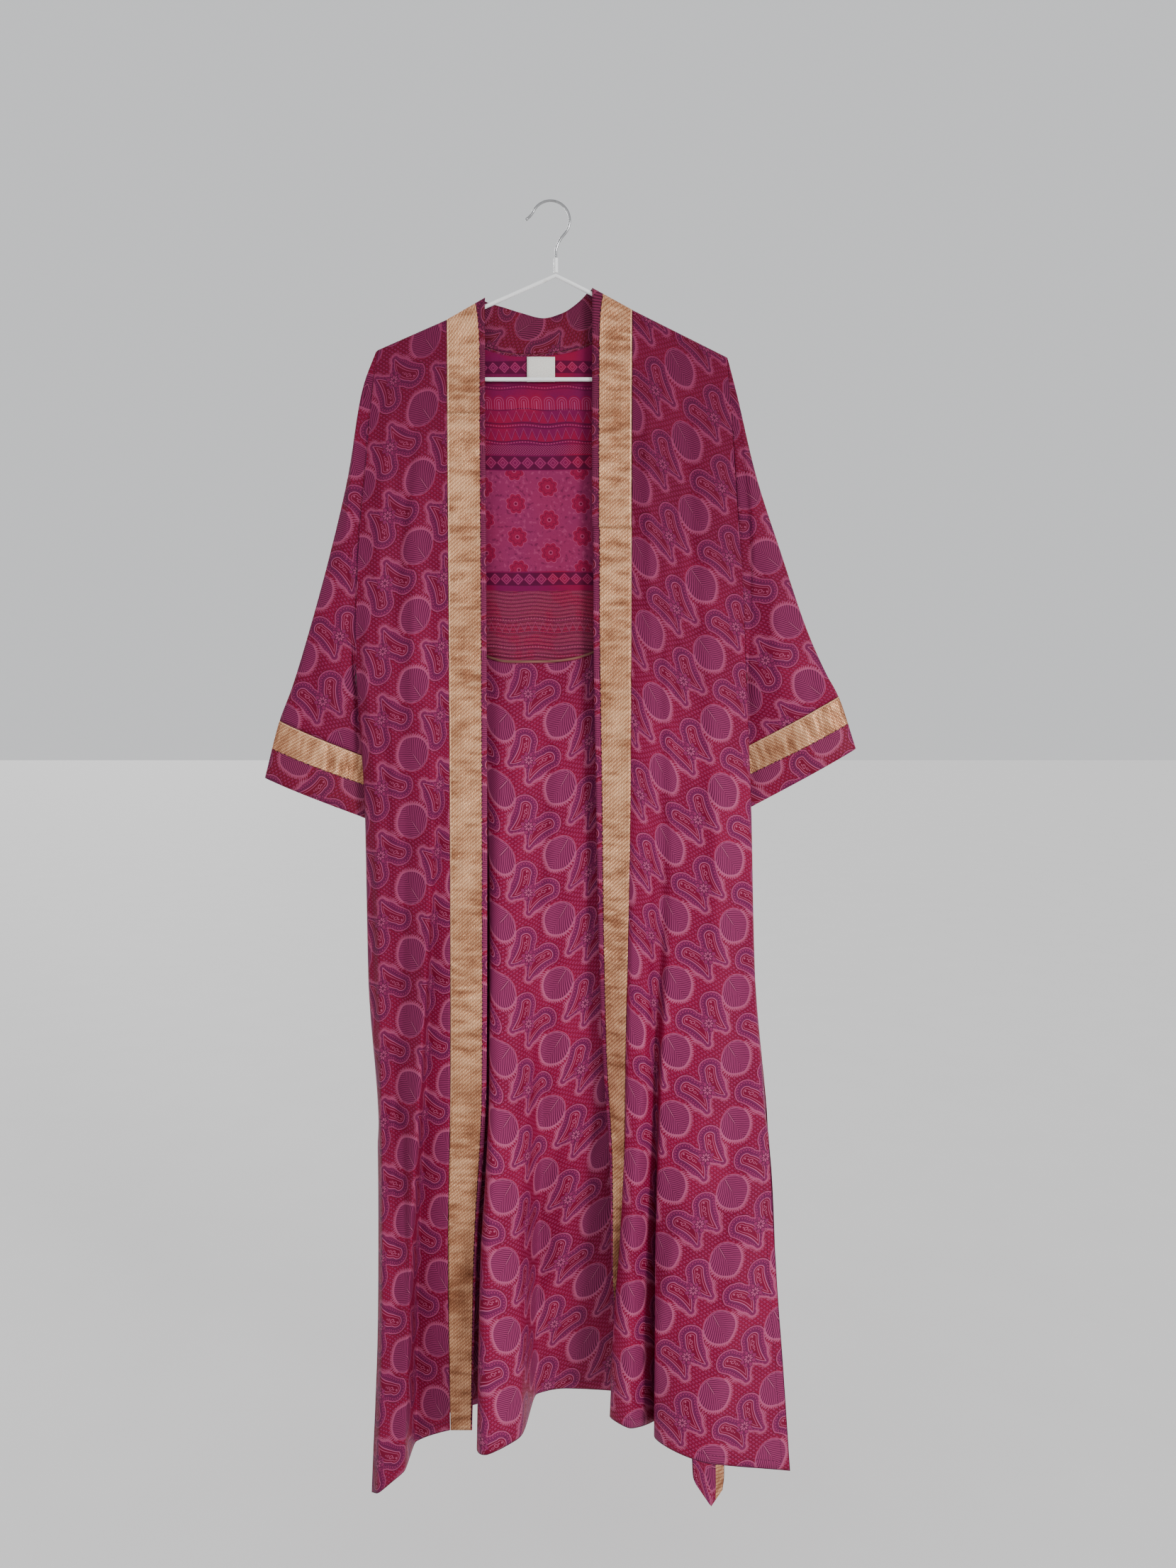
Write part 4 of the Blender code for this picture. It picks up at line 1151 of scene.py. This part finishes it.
# Creases by panel: cloth place of each end (across from the first edge, down), half width, height
FRONT_RIGHT_CREASES = (
    (24, 70, 34, 420, 9, 3.6), (62, 100, 50, 340, 7, -2.8), (44, 350, 48, 720, 8, 3.8),
    (12, 560, 22, 900, 7, -3.4), (76, 240, 70, 520, 6, 2.6), (14, 190, 62, 225, 8, -2.0),
    (30, 900, 26, 1250, 8, 3.8), (56, 140, 86, 165, 7, 1.8), (18, 470, 54, 505, 9, -2.2),
    (52, 880, 50, 1180, 6, -2.8), (14, 300, 22, 540, 7, 2.6), (60, 520, 58, 860, 6, -2.6),
)
FRONT_LEFT_CREASES = (
    (20, 80, 26, 380, 8, 3.4), (72, 70, 84, 400, 11, -3.4), (46, 200, 54, 640, 8, 3.6),
    (98, 300, 120, 780, 11, 4.4), (146, 560, 172, 1150, 14, -5.0), (62, 700, 68, 1050, 9, 3.4),
    (26, 130, 84, 160, 8, -2.0), (88, 250, 120, 262, 9, 1.8), (192, 800, 216, 1320, 13, 5.0),
    (80, 480, 130, 500, 12, -2.0), (118, 880, 130, 1300, 10, 4.0), (36, 520, 40, 900, 7, -2.8),
)
BACK_CREASES = (
    (60, 100, 70, 520, 14, -4.4), (366, 110, 362, 560, 14, 4.4), (252, 420, 242, 900, 9, 3.4),
    (300, 500, 300, 1100, 11, -4.0), (120, 300, 110, 900, 14, 4.4), (440, 560, 450, 1200, 15, -4.6),
    (200, 400, 212, 760, 8, 3.0), (330, 700, 345, 1300, 12, 4.0), (40, 600, 50, 1200, 12, 4.2),
    (150, 140, 320, 180, 12, -1.8), (372, 620, 366, 1180, 11, 3.4), (232, 620, 226, 1120, 8, -3.0),
    (90, 640, 84, 1180, 10, -3.4), (276, 900, 282, 1330, 9, 3.4),
)
# On a sleeve: across from its top fold and down it
SLEEVE_CREASES = (
    (18, 60, 60, 250, 9, 2.4), (48, 40, 100, 210, 10, -2.2), (30, 250, 72, 420, 10, 2.2),
    (80, 180, 130, 330, 11, 2.0), (20, 330, 34, 470, 8, -1.8), (95, 330, 105, 440, 9, -1.8),
)
# Wrinkles of the bands: how far down, the lean of the wrinkle in mm, its half width and height
BAND_WRINKLES = (
    (60, 8, 5, 0.9), (118, -6, 4, -0.8), (165, 10, 6, 1.0), (204, -9, 4, -0.9), (238, 5, 5, 0.8),
    (286, 12, 4, -1.0), (330, -7, 6, 1.1), (372, 9, 4, -0.9), (430, 14, 5, 1.2), (468, -8, 4, -0.9),
    (520, 10, 6, 1.0), (575, -12, 5, -1.1), (640, 9, 6, 1.0), (700, 16, 5, -1.2), (764, -8, 7, 1.2),
    (820, 12, 5, -1.0), (884, 18, 6, 1.3), (940, -14, 6, -1.3), (1000, 20, 7, 1.5),
    (1052, -16, 6, -1.4), (1110, 22, 7, 1.5), (1172, -18, 6, -1.3), (1240, 16, 8, 1.5),
    (1300, -20, 6, -1.4),
)
BAND_CREASES = [(2, v - lean / 2, BAND_WIDTH - 2, v + lean / 2, half, height)
                for v, lean, half, height in BAND_WRINKLES]

# Body panels: table, cells, the side they face, creases, the column beside the band, and the
# print's turn in degrees, its mirroring and its offset
PANELS = {
    "front_right": (FRONT_RIGHT, FRONT_RIGHT_CELLS, -1, FRONT_RIGHT_CREASES, -1, 183.0, 1, (10.0, 20.0)),
    "front_left": (FRONT_LEFT, FRONT_LEFT_CELLS, -1, FRONT_LEFT_CREASES, 0, -7.0, 1, (-20.0, 6.0)),
    "back": (BACK, BACK_CELLS, 1, BACK_CREASES, None, 0.0, -1, (0.0, 0.0)),
}


def panel_piece(node, silk, table, cells, face, creases, edge, print_turn, flip, offset):
    """One body panel, from its row of PANELS."""
    points = panel_rows(table, cells, face)
    across, down = flat_place(points)
    points = creased(points, creases, across, down)
    total = across[:, -1:]
    if edge is None:
        u = across - across[:, [across.shape[1] // 2]]
        side = np.minimum(across, total - across)
    elif edge == 0:
        u, side = across, total - across
    else:
        u, side = across - total, across
    vent = np.array([[FAR] if at < VENT_TOP else [0.0] for at in STEPS])
    cloth_piece(node, "printed_silk", points, SILK, silk, (across, down), ["hanger_frame_wire"],
                turned(u, down, print_turn, flip, offset), hems=(side + vent, down[-1:] - down))
    return points


def strip(seam, free, gap):
    """Points across a band from just beside its seam to its free edge."""
    seam, free = np.array(seam, float), np.array(free, float)
    start = seam + (free - seam) / np.linalg.norm(free - seam) * gap
    return [start + (free - start) * i / BAND_CELLS for i in range(BAND_CELLS + 1)]


def band_piece(node, rows, silk, inner, offset, rests_on, reach=None):
    """reach is how far across the flat band each row's free edge lies, where a part turns under."""
    points = np.array(rows)
    across, down = flat_place(points)
    down = down[:, [0]] + across * 0 + offset
    points = creased(points, BAND_CREASES, across, down)
    if reach is not None:
        across = across + (np.array(reach)[:, None] - across[:, -1:])
    flat = across, down
    cloth_piece(node, "gold_border_silk", points, BAND_SILK, silk, flat, [rests_on], back=inner)


def join_row(side):
    """The panel's row where the front band takes over from the neck piece."""
    return ROLL_STEPS + NECKBAND_JOIN[side] * FINE_DOWN - 1


def make_front_band(side, name, points, table, silk, inner, offset):
    """Strips from the panel's seam edge, down on the right and up on the left. So both face front."""
    first, seam = join_row(side), -1 if side < 0 else 0
    rows, reach = [], []
    for row, at in list(zip(points, STEPS))[first:]:
        across, deeper, flat = read(table, at)
        gap = BAND_GAP + BAND_TURN_GAP * smoothstep(0.4, 0.6, at)
        rows.append(strip(row[seam], row[seam] + (across, deeper, 0), gap))
        reach.append(flat)
    rests_on = "front_" + name + "_cloth"
    band_piece("neckband_" + name, rows[::-side], silk, inner, offset, rests_on, reach[::-side])


def front_neck_strips(points, side, across):
    """The neck piece down one front, from the shoulder to its join with the front band."""
    rows = []
    for row in points[1: join_row(side) + 1]:
        x, y, z = row[-1 if side < 0 else 0]
        rise = NECK_RISE * math.exp(-(shoulder_z(x) - z) / NECK_RISE)
        rows.append(strip((x, y, z), (x + across, y - 1, z + rise), BAND_GAP))
    return rows


def back_column(line):
    """The fine column at one of the back's named lines."""
    return sum(BACK_CELLS[:line]) * FINE_ACROSS


def make_neck_piece(right, left, back, silk, inner):
    rows = front_neck_strips(right, -1, BAND_WIDTH)[::-1]
    first, last = back_column(BACK_NECK_CELLS[0]), back_column(BACK_NECK_CELLS[1] + 1)
    for x, y, z in back[0][first: last + 1]:
        inward = 1 if x < 0 else -1
        inside = inside_neck(x)
        y = 0 if inside < CORNER_STEP / 8 else y
        beside = BAND_GAP * (1 - smoothstep(CORNER_WIDTH, NECK_BLEND, inside))
        over = BAND_GAP * smoothstep(0, CORNER_WIDTH * 2, inside)
        rows.append(strip((x + inward * beside, y, z + over), read(NECKBAND, x), SEAM_GAP))
    rows += front_neck_strips(left, 1, -BAND_WIDTH - 2)
    band_piece("neckband_back", rows[::-1], silk, inner, NECK_PRINT, "back_cloth")


def sleeve_loops(table, front_edge, back_edge, side):
    """Closed loops from the armhole to the cuff. The edges give the armhole's own points."""
    drops = [abs(p[2] - front_edge[0][2]) for p in front_edge]
    depth = drops[-1]
    stations = [i * CUFF_FROM / SLEEVE_ROWS for i in range(1, SLEEVE_ROWS + 1)]
    stations += [CUFF_FROM + (1 - CUFF_FROM) * i / CUFF_ROWS for i in range(1, CUFF_ROWS + 1)]
    gaps = [side * (0.2 + 0.8 * (drop / depth) ** 2) for drop in drops]
    front, back = (
        [(x + gap, y, z) for gap, (x, y, z) in zip(gaps, edge)] for edge in (front_edge, back_edge))
    under = (front[-1][0] + side, 0, front[-1][2] - UNDERARM_DROP)
    loops = [front + [under] + back[::-1]]
    for u in stations:
        fold_x, fold_z, under_x, under_y, under_z = read(table, u)
        width = math.hypot(under_x - fold_x, under_z - fold_z)
        bulge = side * SLEEVE_BULGE * smoothstep(0, 0.12, u) * (1 - u)
        front, back = [], []
        for drop in drops:
            reach = drop
            if drop > DRAPE_RADIUS:
                share = (drop - DRAPE_RADIUS) / (depth - DRAPE_RADIUS)
                reach = DRAPE_RADIUS + (width - DRAPE_RADIUS) * share
            w = reach / width
            swell = SLEEVE_DEPTH * math.sin(math.pi * min(w * 1.15, 1)) ** 0.8
            half = DRAPE_RADIUS + swell * smoothstep(0, 0.25, u) * (1 - 0.35 * w)
            low = smoothstep(0.93, 1.0, w)
            half = half * (1 - low) + UNDERARM_HALF * low
            if drop <= DRAPE_RADIUS:
                half = max(math.sqrt(max(2 * DRAPE_RADIUS * drop - drop * drop, 0)), EDGE_GAP)
            x = fold_x + (under_x - fold_x) * w + bulge * math.sin(math.pi * w)
            z = fold_z + (under_z - fold_z) * w
            middle = FOLD_BACK * u + (under_y - FOLD_BACK * u) * smoothstep(0.1, 1.0, w)
            front.append((x, middle - half, z))
            back.append((x, middle + half, z))
        loops.append(front + [(under_x, under_y, under_z - UNDERARM_DROP)] + back[::-1])
    return np.array(loops)


def sleeve_map(table, loops):
    """Flat place on a sleeve unfolded along its top fold: across from the fold, and down it."""
    start, end = (np.array(row[1:3], float) for row in (table[0], table[-1]))
    way = (end - start) / np.linalg.norm(end - start)
    flat = ring(loops)[..., [0, 2]] - start
    away = np.abs(flat @ np.array((way[1], -way[0])))
    behind = np.arange(away.shape[1]) > loops.shape[1] // 2
    return np.where(behind, -away, away), flat @ way


def make_sleeve(name, table, armhole, side, silk, trim, print_turn, offset):
    """Soft folds lie on a sleeve's front layer and, a little lower, on its back layer."""
    loops = sleeve_loops(table, *armhole, side)
    around, along = flat_place(ring(loops))
    across, down = sleeve_map(table, loops)
    behind = [(-u0, v0 + CREASE_LOWER, -u1, v1 + CREASE_LOWER, width, -height)
              for u0, v0, u1, v1, width, height in SLEEVE_CREASES]
    loops = creased(loops, SLEEVE_CREASES + tuple(behind), across[:, :-1], down[:, :-1])
    rows = SLEEVE_ROWS + 1
    cloth_piece("sleeve_" + name, "printed_silk", loops[:rows], SILK, silk,
                (across[:rows], down[:rows]), ["front_" + name + "_cloth", "back_cloth"],
                turned(across * -side, down, print_turn, 1, offset), closed=True,
                hems=(no_hem(across), no_hem(across)))
    cuff = loops[SLEEVE_ROWS:].copy()
    step = cuff[1] - cuff[0]
    cuff[0] += step / np.linalg.norm(step, axis=1)[:, None] * CUFF_GAP
    flat = around[SLEEVE_ROWS:], along[SLEEVE_ROWS:] - along[SLEEVE_ROWS: rows]
    cloth_piece("cuff_" + name, "gold_border_silk", cuff, CUFF_SILK, trim, flat,
                ["sleeve_" + name + "_cloth"], flat[::-1], closed=True)


def make_lining(back, silk):
    """The piece inside the back, from the back's own points, moved towards the front."""
    first, last = (back_column(line) for line in LINING_SPAN)
    bottom = sum(at <= LINING_BOTTOM for at in STEPS)
    points = back[ROLL_STEPS - 1: bottom, first: last + 1] - (0, LINING_FORWARD, 0)
    sway = LINING_SWAY * np.sin(points[-1, :, 0] / LINING_SWAY_LONG)
    points[-1, :, 2] -= LINING_LOWER + sway
    flat = lengths(points, 1), PRINT_TOP - points[..., 2]
    hems = no_hem(flat[0]), points[..., 2] - points[-1, :, 2]
    cloth_piece("back_lining", "border_print_silk", points, SILK, silk, flat, ["back_cloth"], hems=hems)


def make_label(linen):
    rows = []
    for i in range(LABEL_CELLS + 1):
        v = i / LABEL_CELLS
        row = []
        for k in range(LABEL_CELLS + 1):
            u = k / LABEL_CELLS
            bow = LABEL_BOW * math.sin(math.pi * u) + LABEL_RIPPLE * math.sin(5 * u + 3 * v)
            row.append((LABEL_LEFT + LABEL_WIDTH * u, LABEL_Y - bow, LABEL_TOP - LABEL_HEIGHT * v))
        rows.append(row)
    points = np.array(rows)
    cloth_piece("neck_label", "label_tape", points, LABEL_CLOTH, linen, flat_place(points),
                ["neckband_back_cloth"], end="_tape")


def make_belt(silk):
    """The belt's hanging end is cut on a slant."""
    rows = []
    last = len(BELT) - 1
    for i in range(last * BELT_STEPS + 1):
        at = i / BELT_STEPS
        x, y, z, width = station(BELT, at)
        ahead, behind = station(BELT, min(at + 0.05, last)), station(BELT, max(at - 0.05, 0))
        dx, dz = ahead[0] - behind[0], ahead[2] - behind[2]
        size = math.hypot(dx, dz)
        bunch = BELT_BUNCH * (1 - smoothstep(*BUNCH_WIDTHS, width))
        row = []
        for k in range(BELT_CELLS + 1):
            w = 2 * k / BELT_CELLS - 1
            reach = w * width / 2 / size
            lift = BELT_SLANT * abs(w - BELT_TIP) * max(1 - at, 0)
            row.append((x + dz * reach, y - bunch * (1 - abs(w)), z - dx * reach + lift))
        rows.append(row)
    points = np.array(rows)
    across, down = flat_place(points)
    across *= BELT_WIDTH / np.maximum(across[:, -1:], 1)
    cloth_piece("belt", "printed_silk", points, BELT_CLOTH, silk, (across, down),
                ["belt_loop_left_cloth"])


def back_depth(rows, x, z):
    """Depth of a panel's middle at x and z, read between its rows and columns."""
    levels = []
    for row in rows[ROLL_STEPS:]:
        k = max(i for i, p in enumerate(row[:-1]) if p[0] <= x)
        here, after = row[k], row[k + 1]
        _, deep, level = here + (after - here) * (x - here[0]) / (after[0] - here[0])
        levels.append((level, deep))
    for (high, y_high), (low, y_low) in zip(levels, levels[1:]):
        if low <= z <= high:
            return y_high + (y_low - y_high) * (high - z) / (high - low)
    return levels[-1][1]


def make_belt_loops(back, silk):
    """Two narrow straps on the back. The belt passes through the left one."""
    seat = (SILK + LOOP_CLOTH) / 2 + LOOP_GAP
    for side, name in ((-1, "belt_loop_right"), (1, "belt_loop_left")):
        x = BELT_LOOP_X[side]
        middle = back_depth(back, x, BELT_LOOP_TOP - BELT_LOOP_HEIGHT / 2)
        bow = BELT[BELT_IN_LOOP][1] + LOOP_ROOM - middle - seat if side > 0 else 0.0
        rows = []
        for i in range(LOOP_STEPS + 1):
            u = i / LOOP_STEPS
            z = BELT_LOOP_TOP - BELT_LOOP_HEIGHT * u
            y = back_depth(back, x, z) + seat + bow * math.sin(math.pi * u) ** 0.5
            rows.append([(x + across, y, z) for across in LOOP_ACROSS])
        points = np.array(rows)
        flat = flat_place(points)
        hems = (no_hem(flat[0]), no_hem(flat[0]))
        cloth_piece(name, "printed_silk", points, LOOP_CLOTH, silk, flat, [], hems=hems)


def make_ball(name, centre, radius, material):
    mesh = bpy.data.meshes.new(name)
    form = bmesh.new()
    round_it, down_it = BALL_FACETS
    bmesh.ops.create_uvsphere(form, u_segments=round_it, v_segments=down_it, radius=radius * MM)
    bmesh.ops.translate(form, verts=form.verts, vec=Vector(centre) * MM)
    form.to_mesh(mesh)
    form.free()
    return smooth_object(name, mesh, material)


def make_hanger(coat, chrome):
    round_top = arc((HOOK_X, HOOK_RADIUS - HOOK_BEND), HOOK_BEND, BEND_FROM, BEND_TO, BEND_STEPS)
    tip = rounded(HOOK_TIP + round_top[:2], TIP_STEPS)
    shank = rounded(round_top[-2:] + HOOK_SHANK + [(APEX_X, 0, NECK_TOP)], SHANK_STEPS)
    hook = wire("hanger_hook_wire", tip[:-1] + round_top[2:-2] + shank, HOOK_RADIUS, chrome)
    place(hook, "chrome_wire", "hanger_hook")
    ball = make_ball("hanger_hook_ball", tip[0], BALL_RADIUS, chrome)
    place(ball, "chrome_wire", "hanger_hook")

    ends = [(APEX_X, 0, NECK_TOP - NECK_GAP), (APEX_X, 0, APEX_Z + WIRE_RADIUS + NECK_FOOT)]
    neck = wire("hanger_neck_sleeve", ends, NECK_RADIUS, coat)
    place(neck, "coated_wire", "hanger_neck")

    sides = {}
    for side in (1, -1):
        end_x = SHOULDER_END[side]
        end_z = wire_z(end_x)
        lean = math.atan(SLOPE[side])
        radius = (end_z - BAR_Z) / (1 + math.cos(lean))
        centre = (end_x - side * radius * math.sin(lean), BAR_Z + radius)
        run = [(APEX_X + (end_x - APEX_X) * i / SHOULDER_STEPS, 0,
                APEX_Z + (end_z - APEX_Z) * i / SHOULDER_STEPS) for i in range(1, SHOULDER_STEPS)]
        start = 90 - side * math.degrees(lean)
        sides[side] = run + arc(centre, radius, start, 90 - side * 180, END_STEPS)
    outline = [(APEX_X, 0, APEX_Z)] + sides[1] + sides[-1][::-1]
    frame_wire = wire("hanger_frame_wire", outline, WIRE_RADIUS, coat, cyclic=True)
    place(frame_wire, "coated_wire", "hanger_frame")


# Stage: floor, world, suns and camera. A sun has a way it shines, an angle in degrees and a strength.
FLOOR_SIZE, FLOOR_Z, FLOOR_GRAIN = 60, -1.72, 6.0
FLOOR_LIGHT, FLOOR_DARK, FLOOR_ROUGH = (0.84, 0.83, 0.82), (0.80, 0.79, 0.78), 0.8
WORLD_COLOUR, WORLD_STRENGTH = (0.93, 0.94, 0.96, 1), 0.84
SUNS = {
    "Key": ((-1.7, 1.9, -0.4), 20, 2.3),
    "Fill": ((1.9, 2.0, -0.3), 40, 0.4),
    "Rim": ((0.9, -2.2, -0.9), 25, 1.8),
}
LENS, SENSOR, EYE, EYE_TILT = 26.0, 36.0, (0.043, -1.358, -0.6035), 90 - 3.24


def make_stage():
    """Pale floor, soft lights and the camera of the photo."""
    made, shader = material("Pale floor")
    grain = noise(object_place(made.node_tree), FLOOR_GRAIN, 3.0)
    colour = blend(FLOOR_LIGHT, FLOOR_DARK, grain)
    set_inputs(shader, {"Base Color": colour, "Roughness": FLOOR_ROUGH})
    bpy.ops.mesh.primitive_plane_add(size=FLOOR_SIZE, location=(0, 0, FLOOR_Z))
    floor = bpy.context.object
    floor.name = "floor"
    floor.data.materials.append(made)

    world = bpy.data.worlds.new("Studio")
    world.use_nodes = True
    background = world.node_tree.nodes["Background"]
    set_inputs(background, {"Color": WORLD_COLOUR, "Strength": WORLD_STRENGTH})
    bpy.context.scene.world = world

    for name, (toward, angle, strength) in SUNS.items():
        light = bpy.data.lights.new(name, "SUN")
        light.energy = strength
        light.angle = math.radians(angle)
        lamp = linked(name, light)
        lamp.rotation_euler = Vector(toward).to_track_quat("-Z", "Y").to_euler()

    camera = bpy.data.cameras.new("Camera")
    camera.lens = LENS
    camera.sensor_width = SENSOR
    eye = linked("Camera", camera)
    eye.location = EYE
    eye.rotation_euler = (math.radians(EYE_TILT), 0, 0)
    bpy.context.scene.camera = eye


def write_sizes():
    bpy.context.view_layer.update()


def build():
    for obj in list(bpy.data.objects):
        bpy.data.objects.remove(obj, do_unlink=True)
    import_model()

    silk = make_print_silk()
    band = make_band_silk("Gold border silk", GOLD_WIDTH, 0.0)
    cuff = make_band_silk("Cuff border silk", CUFF_GOLD, 0.0)
    lining = make_lining_silk()
    right, left, back = (panel_piece(node, silk, *panel) for node, panel in PANELS.items())

    inside = make_band_silk("Band inside", 0.0, INSIDE_START)
    make_front_band(-1, "right", right, BAND_RIGHT, band, inside, RIGHT_PRINT)
    make_front_band(1, "left", left, BAND_LEFT, band, inside, LEFT_PRINT)
    make_neck_piece(right, left, back, band, inside)

    rows = ROLL_STEPS + ARM_ROWS * FINE_DOWN
    armhole = right[:rows, 0], back[:rows, 0]
    make_sleeve("right", SLEEVE_RIGHT, armhole, -1, silk, cuff, 0.0, (30.0, 10.0))
    armhole = left[:rows, -1], back[:rows, -1]
    make_sleeve("left", SLEEVE_LEFT, armhole, 1, silk, cuff, 180.0, (5.0, 40.0))

    make_lining(back, lining)
    make_label(make_label_tape())
    make_belt(make_belt_silk())
    make_belt_loops(back, silk)
    make_hanger(make_coat(), make_chrome())
    make_stage()
    write_sizes()


build()
